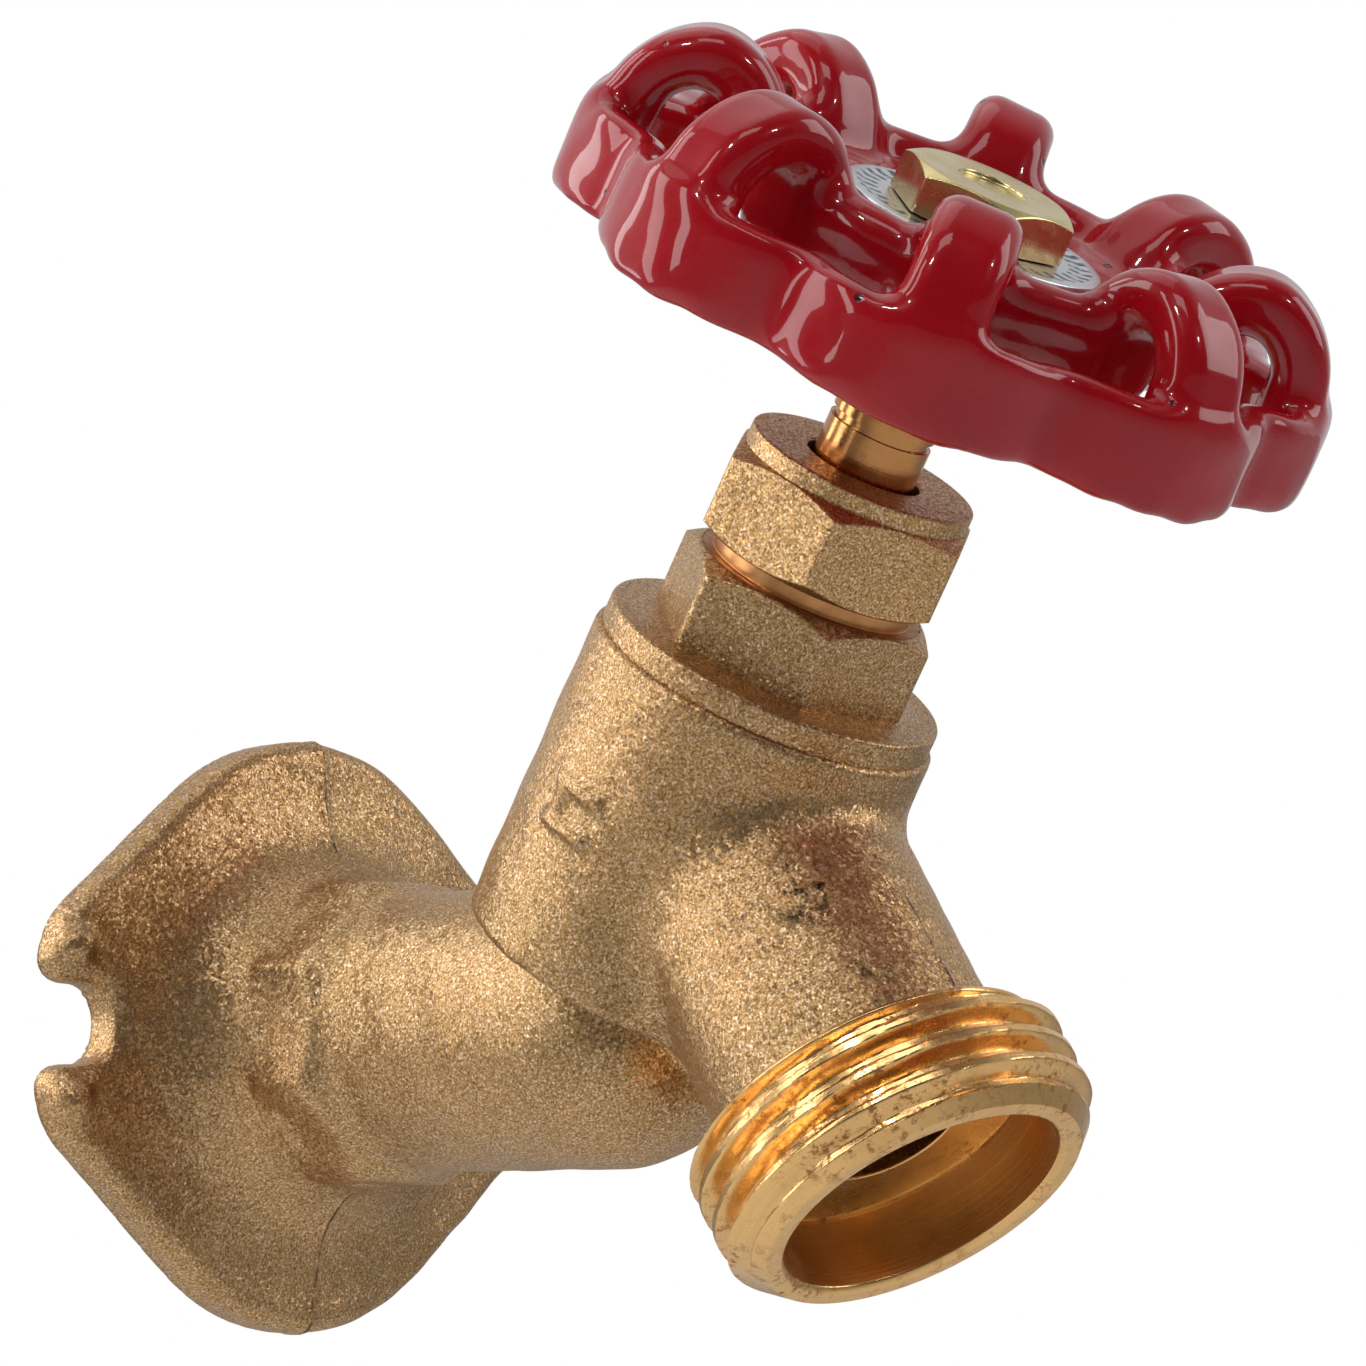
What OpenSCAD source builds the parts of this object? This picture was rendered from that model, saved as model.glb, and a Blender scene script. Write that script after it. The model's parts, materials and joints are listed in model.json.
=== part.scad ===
// Hose bib: an angled garden tap that screws onto a pipe stub and is fastened to a wall.
// Frame: the origin is the centre of the flange's back face, +X points out of the wall,
// +Z points up. Lengths are in millimetres and angles in degrees.

/* [Wall flange] */
// Width of the flange from ear to ear
flange_w = 47.4; // [40:0.1:58]
// Height of the flange between its rounded ends
flange_h = 42.8; // [36:0.1:52]
// Thickness of the flange along its middle ridge
flange_t = 4.3; // [3.6:0.1:5.2]
// Thickness of the flange at the tip of an ear
ear_t = 2.7; // [2:0.1:3.3]
// Width of the screw slot in each ear
slot_w = 5.3; // [4:0.1:6.4]
// Depth of the screw slot, from the ear's tip
slot_depth = 5.85; // [4.8:0.05:7]

/* [Inlet] */
// Inner diameter of the inlet's solder cup
inlet_d = 16; // [13.3:0.05:19.2]
// Depth of the inlet's solder cup
inlet_depth = 12.7; // [10.5:0.1:15.3]
// Wall between the solder cup and the flats of the wrench boss
boss_wall = 2.7; // [2.2:0.01:3.3]
// How far the flats of the wrench boss stand outside the pipe
boss_step = 0.77; // [0.6:0.01:0.95]
// Diameter of the water passage
passage_d = 12; // [10:0.1:14.4]

/* [Valve barrel] */
// Lean of the stem away from the wall, measured from upright
stem_tilt = 32; // [26.5:0.1:38.4]
// Where the stem's axis crosses the pipe's axis
stem_foot_x = 33.5; // [30:0.5:40]
// Outer diameter of the barrel
barrel_d = 24.86; // [24:0.02:30]
// Height of the barrel's top above the pipe's axis, along the stem
barrel_top = 26.9; // [24:0.1:32.4]
// Height of the valve seat above the pipe's axis, along the stem
seat_s = 10.5; // [9.5:0.1:12.6]
// Diameter of the seat's hole
seat_d = 10; // [8.3:0.1:12]

/* [Hose outlet] */
// Lean of the spout away from the wall, measured from straight down
spout_tilt = 34.5; // [30:0.5:41]
// Where the spout's axis crosses the pipe's axis, counted from the stem's foot
spout_offset = 20.4; // [18:0.1:24.5]
// Crest diameter of the hose thread
hose_thread_d = 26.8; // [22.3:0.05:32.2]
// Pitch of the hose thread
hose_pitch = 2.209; // [2:0.001:2.4]
// Number of thread crests
hose_crests = 4; // [3:1:5]
// Wall between the outlet's mouth and the root of its thread
outlet_wall = 2.23; // [1.85:0.01:2.7]
// How far the root of the thread stands outside the plain spout
spout_step = 2.05; // [1.7:0.01:2.4]
// Depth of the mouth down to its shoulder
mouth_depth = 5.6; // [4.6:0.1:6.8]
// Diameter of the hole in the mouth's shoulder
outlet_hole_d = 9.8; // [8.1:0.1:11.8]

/* [Bonnet and packing nut] */
// Wall of the bonnet's neck around the packing
neck_wall = 1.64; // [1.35:0.01:2]
// Wall of the packing nut around the neck, at its flats
nut_wall = 1.1; // [0.9:0.01:1.35]
// How far the bonnet's flat rim stands inside the edge of the barrel
rim_step = 0.37; // [0.3:0.01:0.45]
// Thickness of the bonnet's flat rim
rim_t = 1.88; // [1.55:0.01:2.3]
// Height of the bonnet's hexagon
bonnet_hex_h = 5.9; // [5:0.1:7]
// Height of the packing nut's hexagon
nut_hex_h = 6.3; // [5.5:0.1:7.5]
// Height of the round collar on the packing nut
nut_collar_h = 1.3; // [1:0.1:1.6]

/* [Stem] */
// Diameter of the bright upper stem
stem_d = 7.32; // [6.1:0.02:8.8]
// Height of the handwheel's lowest edge above the packing nut's top
wheel_clearance = 9.4; // [8:0.1:11.3]
// How far the stem rises from closed to fully open
stem_lift = 5.82; // [4.8:0.01:7]

/* [Handwheel] */
// Diameter over the lobes
wheel_d = 54.8; // [46:0.1:66]
// Number of lobes and arches
lobe_count = 8; // [7:1:9]
// Diameter of the round of one lobe
lobe_d = 22.8; // [20:0.1:26]
// Height of the outer rim band
band_h = 6.9; // [5.8:0.1:7.6]
// Thickness of the outer rim band
band_t = 2.9; // [2.4:0.1:3.5]
// Width of an arch, around the wheel
arch_w = 6; // [5:0.1:7.2]
// Distance that an arch spans, from the rim to the dish
arch_span = 13; // [11:0.1:15.6]
// Thickness of an arch
arch_t = 4.2; // [3.5:0.1:5]
// Diameter of the identification disc
disc_d = 18.6; // [15.5:0.1:22]
// Distance across the flats of the handle screw's head
screw_flats = 11.1; // [9.2:0.1:13.3]
// Height of the handle screw's head
screw_head_h = 3; // [2.5:0.1:3.6]

/* [Hidden] */
$fn = 96;
cut = 0.5;              // how far a cutter runs past the face that it opens
fit_gap = 0.05;         // clearance between a pin and its bore, on the radius
rest_gap = 0.02;        // clearance between two faces that only meet

// Flange outline: four sloping sides, round above and below, and upright ear tips
peak_ratio = 1.217;                     // height where the sides would meet, over the half height
flange_peak = flange_h / 2 * peak_ratio;
ear_rise = 0.262;                       // height of an ear's corner, over the flange's peak
ear_z = flange_peak * ear_rise;
side_slope = (flange_peak - ear_z) / (flange_w / 2);
side_secant = sqrt(1 + side_slope * side_slope);
cap_r = (flange_peak - flange_h / 2) / (side_secant - 1);
cap_z = flange_h / 2 - cap_r;
slot_floor = flange_w / 2 - slot_depth; // distance from the middle to a slot's round end
slot_mouth = 1.3;                       // how much wider than the slot its mouth is
nub_r = 1.3;                            // small raised lump on each ear corner
nub_z = ear_z * 0.78;

// Flare, wrench boss and pipe
boss_flats = inlet_d + 2 * boss_wall;
pipe_r = boss_flats / 2 - boss_step;
flare_spread = 4.8;
flare_base_r = boss_flats / 2 + flare_spread;
boss_start = flange_t + 5.2;
boss_end = boss_start + 4.7;
boss_chamfer = 2.1;
boss_corner_r = boss_flats / 2 / cos(22.5);
pipe_end_x = stem_foot_x + 0.7;
inlet_cone = 1.2;
passage_end_x = stem_foot_x + 1;

// Heights along the stem's axis, counted from the pipe's axis
barrel_low = 4.4;
seat_ring_r = seat_d / 2 + 1.5;
trough_s = seat_s - 1.8;
chamber_r = barrel_d / 2 - 3.2;
bonnet_thread_r = barrel_d / 2 - 2.4;
skirt_s = barrel_top - 6.9;
gasket_t = 0.8;
gasket_outer_r = bonnet_thread_r + 1.5;
rim_top = barrel_top + rim_t;
hex_top = rim_top + bonnet_hex_h;
nut_low = hex_top + 1.3;
nut_high = nut_low + nut_hex_h;
collar_top = nut_high + nut_collar_h;
stem_r = stem_d / 2;
packing_r = stem_r + 1.9;
neck_r = packing_r + neck_wall;
nut_flats = 2 * (neck_r + nut_wall);
neck_top = nut_high - 1.8;
nut_floor = neck_top + 0.7;
collar_r = nut_flats / 2 - 0.22;
bonnet_turn = -2.9;
nut_turn = -19.7;

// Stem and the pieces on it
stem_thread_r = stem_r + 1.5;
packing_floor = hex_top + 1.1;
guide_floor = packing_floor - 0.9;
stem_thread_top = guide_floor - stem_lift - 0.6;
stem_thread_low = stem_thread_top - 9;
washer_r = seat_d / 2 + 1.4;
washer_t = 3;
washer_s = seat_s + 0.1;
cup_depth = 1.2;
cup_r = washer_r + 0.6;
cup_low = washer_s + washer_t - cup_depth;
cup_h = 4.6;
cup_top = cup_low + cup_h;
stop_gap = 1.1;
recess_top = max(cup_top + stem_lift + stop_gap, skirt_s + 1);
square_side = stem_r * 1.366;
screw_wall = 0.85;
small_screw_r = square_side / 2 - fit_gap - screw_wall;
small_head_r = small_screw_r + 1.7;
small_head_h = 1.5;
packing_t = 3;
nut_hole_r = stem_r + 0.46;

// Handwheel
wheel_low = collar_top + wheel_clearance;
wheel_r = wheel_d / 2;
lobe_pitch = 360 / lobe_count;
lobe_turn = -3.3;
lobe_round_r = lobe_d / 2;
lobe_centre_r = wheel_r - lobe_round_r;
band_inner_r = lobe_round_r - band_t;
arch_outer_r = arch_span / 2;
arch_inset = 0.8;
arch_centre_r = wheel_r - arch_outer_r - arch_inset;
arch_centre_s = wheel_low + band_h + 0.5;
dish_r = arch_centre_r - arch_outer_r + arch_inset + arch_t * 0.75;
dish_top = wheel_low + 8.2;
dish_lip = 1.8;
dish_lip_w = 2;
dish_edge_t = 5.6;
hub_r = stem_r + 2.94;
hub_low = wheel_low + 1.6;
stem_top = dish_top - 0.4;
groove_s = collar_top + 2.7;
groove_w = 0.7;
groove_depth = 0.25;
disc_t = 0.5;
disc_hole_r = small_screw_r + 0.6;
handle_screw_s = dish_top + disc_t;
handle_screw_len = 9.5;
dimple_r = 2.45;
dimple_depth = 0.45;

// Spout, counted along its axis from the pipe's axis, downwards
spout_foot_x = stem_foot_x + spout_offset;
spout_start = -15;
thread_root_r = hose_thread_d / 2 - 1.25;
mouth_r = thread_root_r - outlet_wall;
spout_r = thread_root_r - spout_step;
thread_start = 6;
first_crest = thread_start + 1.7;
spout_end = first_crest + hose_crests * hose_pitch - 1.25;
end_chamfer = 0.9;
crest_flat = 0.5;

// Raised plain pad where a casting would carry a mark
pad_size = [0.45, 5, 4.4];
pad_s = 15.9;
pad_turn = -92;

module on_stem() {
    translate([stem_foot_x, 0, 0]) rotate([0, stem_tilt, 0]) children();
}

module on_spout() {
    translate([spout_foot_x, 0, 0]) rotate([0, 180 - spout_tilt, 0]) children();
}

// A plain cylinder between two heights
module rod(r, low, high) {
    translate([0, 0, low]) cylinder(r = r, h = high - low);
}

// A flat ring between two heights
module ring(outer, inner, low, high) {
    difference() {
        rod(outer, low, high);
        rod(inner, low - cut, high + cut);
    }
}

// A hexagonal prism whose corners are turned off at 30 degrees
module chamfered_hex(flats, low, high, chamfer_low, chamfer_high) {
    corner = flats / sqrt(3);
    bevel = (corner - flats / 2) * tan(30);
    inner = flats / 2 - 0.1;
    intersection() {
        translate([0, 0, low]) cylinder(r = corner, h = high - low, $fn = 6);
        rotate_extrude() polygon([
            [0, low],
            [chamfer_low ? inner : corner + 1, low],
            [corner + 1, chamfer_low ? low + bevel + 1 * tan(30) : low],
            [corner + 1, chamfer_high ? high - bevel - 1 * tan(30) : high],
            [chamfer_high ? inner : corner + 1, high],
            [0, high]]);
    }
}

// Outline of the flange, drawn with the flange's width along X and its height along Y
module flange_outline() {
    half_w = flange_w / 2;
    tangent_x = cap_r * side_slope / side_secant;
    tangent_y = cap_z + cap_r / side_secant;
    polygon([
        [half_w, ear_z], [tangent_x, tangent_y], [-tangent_x, tangent_y], [-half_w, ear_z],
        [-half_w, -ear_z], [-tangent_x, -tangent_y], [tangent_x, -tangent_y], [half_w, -ear_z]]);
    intersection() {
        union() {
            translate([0, cap_z]) circle(r = cap_r);
            translate([0, -cap_z]) circle(r = cap_r);
        }
        square([2 * tangent_x, flange_h + 1], center = true);
    }
}

// One screw slot, open at the ear's tip
module slot_outline() {
    half_w = flange_w / 2;
    round_x = slot_floor + slot_w / 2;
    translate([round_x, 0]) circle(d = slot_w);
    translate([round_x, -slot_w / 2]) square([half_w - round_x + cut, slot_w]);
    polygon([
        [half_w - slot_mouth * 1.4, slot_w / 2], [half_w + cut, slot_w / 2 + slot_mouth],
        [half_w + cut, -slot_w / 2 - slot_mouth], [half_w - slot_mouth * 1.4, -slot_w / 2]]);
}

// The flange: thickest along its upright middle and thinner towards each ear
module flange() {
    difference() {
        intersection() {
            rotate([90, 0, 90]) linear_extrude(flange_t) flange_outline();
            translate([0, 0, -flange_h / 2 - 1]) linear_extrude(flange_h + 2) polygon([
                [0, -flange_w / 2 - 1], [ear_t, -flange_w / 2 - 1], [ear_t, -flange_w / 2],
                [flange_t, 0],
                [ear_t, flange_w / 2], [ear_t, flange_w / 2 + 1], [0, flange_w / 2 + 1]]);
        }
        for (side = [0, 180])
            translate([-cut, 0, 0]) rotate([90, 0, 90]) rotate(side)
                linear_extrude(flange_t + 2 * cut) slot_outline();
    }
    for (y_side = [-1, 1], z_side = [-1, 1])
        translate([ear_t - 0.2, y_side * (flange_w / 2 - nub_r - 0.3), z_side * nub_z])
            sphere(r = nub_r, $fn = 32);
}

// Outer skin of the inlet: hollow flare, eight-sided boss, chamfer and round pipe
module inlet_outside() {
    flare_r = boss_start - ear_t;
    rotate([0, 90, 0]) rotate_extrude() difference() {
        square([flare_base_r, boss_start]);
        translate([boss_flats / 2 - 0.6 + flare_r, boss_start]) circle(r = flare_r);
    }
    intersection() {
        rotate([0, 90, 0]) rotate([0, 0, 22.5])
            cylinder(r = boss_corner_r, h = boss_end + boss_chamfer, $fn = 8);
        rotate([0, 90, 0]) rotate_extrude() polygon([
            [0, boss_start - 2], [boss_corner_r + 1, boss_start - 2], [boss_corner_r + 1, boss_end - 1],
            [pipe_r - 0.2, boss_end + boss_chamfer], [0, boss_end + boss_chamfer]]);
    }
    rotate([0, 90, 0]) cylinder(r = pipe_r, h = pipe_end_x);
    translate([pipe_end_x, 0, 0]) sphere(r = pipe_r);
}

// Spout with its hose thread, drawn as even rings
module spout_outside() {
    rod(spout_r, spout_start, thread_start + 0.5);
    rotate_extrude() polygon([
        [0, thread_start], [thread_root_r, thread_start], [thread_root_r, spout_end - end_chamfer],
        [thread_root_r - end_chamfer * 0.6, spout_end], [0, spout_end]]);
    tooth_h = hose_thread_d / 2 - thread_root_r;
    tooth_foot = crest_flat / 2 + tooth_h * tan(30);
    last_room = spout_end - first_crest - (hose_crests - 1) * hose_pitch;
    for (turn = [0 : hose_crests - 1])
        rotate_extrude() translate([thread_root_r, first_crest + turn * hose_pitch]) polygon([
            [-1, -tooth_foot], [0, -tooth_foot], [tooth_h, -crest_flat / 2], [tooth_h, crest_flat / 2],
            [0, min(tooth_foot, last_room)], [-1, min(tooth_foot, last_room)]]);
}

module valve_body() {
    color([0.72, 0.56, 0.34]) difference() {
        union() {
            flange();
            inlet_outside();
            on_stem() rod(barrel_d / 2, barrel_low, barrel_top);
            on_spout() spout_outside();
            on_stem() intersection() {
                rod(barrel_d / 2 + pad_size[0], barrel_low, barrel_top);
                rotate(pad_turn) translate([0, -pad_size[1] / 2, pad_s - pad_size[2] / 2])
                    cube([barrel_d, pad_size[1], pad_size[2]]);
            }
        }
        rotate([0, 90, 0]) {
            rod(inlet_d / 2, -cut, inlet_depth);
            translate([0, 0, inlet_depth - 0.001])
                cylinder(r1 = inlet_d / 2, r2 = passage_d / 2, h = inlet_cone);
            rod(passage_d / 2, inlet_depth, passage_end_x);
        }
        on_stem() {
            rod(seat_d / 2, 0, seat_s + cut);
            difference() {
                rod(chamber_r, trough_s, skirt_s + cut);
                rod(seat_ring_r, trough_s - cut, seat_s);
            }
            rod(bonnet_thread_r + fit_gap, skirt_s, barrel_top + cut);
            rod(gasket_outer_r + fit_gap, barrel_top - gasket_t, barrel_top + cut);
        }
        on_spout() {
            rod(outlet_hole_d / 2, spout_start + 2, spout_end);
            rod(mouth_r, spout_end - mouth_depth, spout_end + cut);
        }
    }
}

module bonnet() {
    color([0.74, 0.56, 0.30]) on_stem() difference() {
        union() {
            rod(bonnet_thread_r, skirt_s, barrel_top + 0.5);
            rod(barrel_d / 2 - rim_step, barrel_top + rest_gap, rim_top);
            rotate(bonnet_turn) chamfered_hex(nut_flats, rim_top - 0.5, hex_top, false, true);
            rod(neck_r, hex_top - 1, neck_top);
        }
        rod(cup_r + 0.6, skirt_s - cut, recess_top);
        rod(stem_thread_r + fit_gap, recess_top - cut, guide_floor);
        rod(stem_r + fit_gap, guide_floor - cut, packing_floor + cut);
        rod(packing_r + fit_gap, packing_floor, neck_top + cut);
    }
}

module bonnet_gasket() {
    color([0.25, 0.22, 0.20]) on_stem()
        ring(gasket_outer_r, bonnet_thread_r + fit_gap, barrel_top - gasket_t, barrel_top);
}

module packing_ring() {
    color([0.20, 0.20, 0.21]) on_stem()
        ring(packing_r, stem_r + fit_gap, packing_floor, packing_floor + packing_t);
}

module gland_washer() {
    color([0.80, 0.62, 0.32]) on_stem()
        ring(packing_r - 0.05, stem_r + fit_gap, packing_floor + packing_t, nut_floor);
}

module packing_nut() {
    color([0.76, 0.58, 0.30]) on_stem() difference() {
        union() {
            rotate(nut_turn) chamfered_hex(nut_flats, nut_low, nut_high, true, true);
            rod(collar_r, nut_high - 1, collar_top);
        }
        rod(neck_r + fit_gap, nut_low - cut, nut_floor);
        rod(nut_hole_r, nut_floor - cut, collar_top + cut);
    }
}

module seat_washer() {
    color([0.12, 0.12, 0.13]) on_stem()
        ring(washer_r, small_screw_r + fit_gap, washer_s, washer_s + washer_t);
}

module washer_screw() {
    color([0.82, 0.66, 0.34]) on_stem() {
        rod(small_screw_r, washer_s - 0.5, cup_top - 1);
        rod(small_head_r, washer_s - small_head_h - rest_gap, washer_s - rest_gap);
    }
}

module stem() {
    color([0.84, 0.68, 0.36]) on_stem() difference() {
        union() {
            rod(cup_r, cup_low, cup_top);
            rod(stem_r, cup_top - 1, hub_low - rest_gap);
            rod(stem_thread_r, stem_thread_low, stem_thread_top);
            translate([-square_side / 2, -square_side / 2, hub_low - 1])
                cube([square_side, square_side, stem_top - hub_low + 1]);
        }
        rod(washer_r + fit_gap, cup_low - cut, washer_s + washer_t + rest_gap);
        rod(small_screw_r + fit_gap, cup_low, cup_top - 0.9);
        rod(small_screw_r + fit_gap, handle_screw_s - handle_screw_len - 0.5, stem_top + cut);
        ring(stem_r + 1, stem_r - groove_depth, groove_s, groove_s + groove_w);
    }
}

// The lobed band under the arches
module wheel_band() {
    difference() {
        translate([0, 0, wheel_low]) linear_extrude(band_h)
            for (turn = [0 : lobe_count - 1]) rotate(turn * lobe_pitch + lobe_turn)
                translate([lobe_centre_r, 0]) circle(r = lobe_round_r);
        translate([0, 0, wheel_low - cut]) linear_extrude(band_h + 2 * cut) {
            for (turn = [0 : lobe_count - 1]) rotate(turn * lobe_pitch + lobe_turn)
                translate([lobe_centre_r, 0]) circle(r = band_inner_r);
            circle(r = lobe_centre_r + 1);
        }
    }
}

// One arch: it rises from a lobe and comes down on the dish's edge
module wheel_arch() {
    rotate([90, 0, 0]) linear_extrude(arch_w, center = true) {
        translate([arch_centre_r, arch_centre_s]) difference() {
            circle(r = arch_outer_r);
            circle(r = arch_outer_r - arch_t);
            translate([-wheel_r, -wheel_r]) square([2 * wheel_r, wheel_r]);
        }
        translate([wheel_r - arch_inset - arch_t, wheel_low]) square([arch_t, arch_centre_s - wheel_low]);
        translate([arch_centre_r - arch_outer_r, dish_top - dish_edge_t + 1])
            square([arch_t, arch_centre_s - dish_top + dish_edge_t - 1]);
    }
}

// The shallow dish that joins the hub to the arches
module wheel_dish() {
    rotate_extrude() polygon([
        [0, hub_low], [hub_r, hub_low], [hub_r + 0.6, hub_low + 1.4], [dish_r, dish_top - dish_edge_t + 1.2],
        [dish_r + 0.6, dish_top - 1], [dish_r, dish_top + dish_lip],
        [dish_r - dish_lip_w, dish_top + dish_lip - 0.2], [dish_r - dish_lip_w - 1.4, dish_top],
        [0, dish_top]]);
}

module handwheel() {
    color([0.55, 0.02, 0.04]) on_stem() difference() {
        union() {
            wheel_band();
            for (turn = [0 : lobe_count - 1]) rotate(turn * lobe_pitch + lobe_turn) wheel_arch();
            wheel_dish();
        }
        translate([-square_side / 2 - fit_gap, -square_side / 2 - fit_gap, hub_low - cut])
            cube([square_side + 2 * fit_gap, square_side + 2 * fit_gap, dish_top - hub_low + 2 * cut]);
    }
}

module id_plate() {
    color([0.75, 0.76, 0.78]) on_stem()
        ring(disc_d / 2, disc_hole_r, dish_top, dish_top + disc_t);
}

module handle_screw() {
    color([0.78, 0.66, 0.38]) on_stem() difference() {
        union() {
            chamfered_hex(screw_flats, handle_screw_s, handle_screw_s + screw_head_h, false, true);
            rod(small_screw_r, handle_screw_s - handle_screw_len, handle_screw_s + 0.5);
        }
        rod(dimple_r, handle_screw_s + screw_head_h - dimple_depth, handle_screw_s + screw_head_h + cut);
    }
}

valve_body();
bonnet();
bonnet_gasket();
packing_ring();
gland_washer();
packing_nut();
seat_washer();
washer_screw();
stem();
handwheel();
id_plate();
handle_screw();
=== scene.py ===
"""Hose bib: the detailed visual model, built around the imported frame.

Lengths in the property groups are metres. The modelling functions work in millimetres, in the
frame's own axes: the origin is the centre of the flange's back face, +X leaves the wall, +Z is up.
"""

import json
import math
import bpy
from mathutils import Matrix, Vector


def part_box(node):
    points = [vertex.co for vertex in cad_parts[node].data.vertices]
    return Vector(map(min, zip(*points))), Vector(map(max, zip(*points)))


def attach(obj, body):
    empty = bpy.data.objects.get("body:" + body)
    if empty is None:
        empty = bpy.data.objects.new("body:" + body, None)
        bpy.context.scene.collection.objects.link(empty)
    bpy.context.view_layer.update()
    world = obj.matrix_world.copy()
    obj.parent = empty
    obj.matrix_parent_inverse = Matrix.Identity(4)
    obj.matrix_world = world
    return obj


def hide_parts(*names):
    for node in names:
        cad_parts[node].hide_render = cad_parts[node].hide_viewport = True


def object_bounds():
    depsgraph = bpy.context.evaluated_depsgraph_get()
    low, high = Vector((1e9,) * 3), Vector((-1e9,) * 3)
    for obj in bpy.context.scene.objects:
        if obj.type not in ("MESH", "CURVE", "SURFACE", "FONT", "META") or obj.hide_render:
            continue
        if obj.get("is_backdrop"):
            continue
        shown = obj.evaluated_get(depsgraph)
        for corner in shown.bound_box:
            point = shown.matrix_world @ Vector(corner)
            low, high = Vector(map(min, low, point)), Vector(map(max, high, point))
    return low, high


bl_info = {
    "name": "Hose Bib",
    "version": (1, 0, 0),
    "blender": (4, 5, 0),
    "location": "View3D > Sidebar > Hose Bib",
    "description": "Builds a cast brass hose bib with a lobed red handwheel",
    "category": "Object",
}

import bpy
import numpy as np
from bpy.props import FloatProperty, FloatVectorProperty, IntProperty, PointerProperty
from mathutils import Matrix, Vector

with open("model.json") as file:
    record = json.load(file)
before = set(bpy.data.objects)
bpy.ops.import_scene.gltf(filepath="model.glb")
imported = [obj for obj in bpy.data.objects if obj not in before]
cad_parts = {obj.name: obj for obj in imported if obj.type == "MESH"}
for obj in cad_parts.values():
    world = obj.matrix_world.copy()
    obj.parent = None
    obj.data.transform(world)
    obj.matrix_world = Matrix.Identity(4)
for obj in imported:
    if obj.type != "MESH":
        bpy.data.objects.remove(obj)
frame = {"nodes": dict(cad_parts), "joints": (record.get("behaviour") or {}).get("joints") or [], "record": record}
CAD_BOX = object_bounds()
MM = 0.001


# ---------------------------------------------------------------- axes and frame measures

class Axis:
    """A turning axis: an origin in millimetres, a direction, and two directions across it."""

    def __init__(self, origin, along):
        self.origin = np.array(origin, dtype=float)
        self.along = np.array(along, dtype=float) / np.linalg.norm(along)
        self.side = np.array((0.0, 1.0, 0.0))
        self.across = np.cross(self.side, self.along)

    def local(self, points):
        """Coordinates across, to the side and along, for points in the row frame."""
        moved = points - self.origin
        return moved @ self.across, moved @ self.side, moved @ self.along

    def world(self, points):
        """Row-frame points for rows of local coordinates."""
        basis = np.stack((self.across, self.side, self.along))
        return points @ basis + self.origin

    def matrix(self):
        """The 4x4 matrix, in metres, that takes local coordinates to the row frame."""
        columns = np.stack((self.across, self.side, self.along), axis=1)
        return Matrix.Translation(Vector(self.origin * MM)) @ Matrix(columns.tolist()).to_4x4()


def joint_named(name):
    return next(j for j in frame["joints"] if j["name"] == name)


def mount_named(name):
    return next(m for m in frame["record"]["mounts"] if m["name"] == name)


TURN_JOINT = joint_named("handwheel_turn")
MOUTH = mount_named("outlet_mouth")
INLET = mount_named("inlet")
STEM = Axis(np.array(TURN_JOINT["pos_m"]) / MM, TURN_JOINT["axis"])
SPOUT = Axis(np.array(MOUTH["pos_m"]) / MM, MOUTH["axis"])
PIPE = Axis((0.0, 0.0, 0.0), (1.0, 0.0, 0.0))


class Span:
    """What a CAD node covers along an axis: its two ends and its smallest and largest radius."""

    def __init__(self, node, axis):
        mesh = frame["nodes"][node].data
        flat = np.empty(len(mesh.vertices) * 3)
        mesh.vertices.foreach_get("co", flat)
        across, side, along = axis.local(flat.reshape(-1, 3) / MM)
        radius = np.hypot(across, side)
        self.low, self.high = along.min(), along.max()
        self.inner, self.outer = radius.min(), radius.max()
        self.levels = (along, radius)

    def reach(self, low, high):
        """Largest radius between two heights."""
        along, radius = self.levels
        return radius[(along > low) & (along < high)].max()


BONNET = Span("bonnet", STEM)
NUT = Span("packing_nut", STEM)
SPINDLE = Span("stem", STEM)
WHEEL = Span("handwheel", STEM)
DISC = Span("id_plate", STEM)
HEAD = Span("handle_screw", STEM)
GASKET = Span("bonnet_gasket", STEM)
BODY_LOW, BODY_HIGH = (np.array(c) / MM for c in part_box("valve_body"))


# ---------------------------------------------------------------- sizes and colours

def length(name, description, default_mm):
    """A length property whose default is given in millimetres."""
    return FloatProperty(name=name, description=description, default=default_mm * MM,
                         min=0.0, unit="LENGTH", subtype="DISTANCE", precision=4)


def colour(name, description, default):
    return FloatVectorProperty(name=name, description=description, default=default,
                               size=3, min=0.0, max=1.0, subtype="COLOR")


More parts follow.
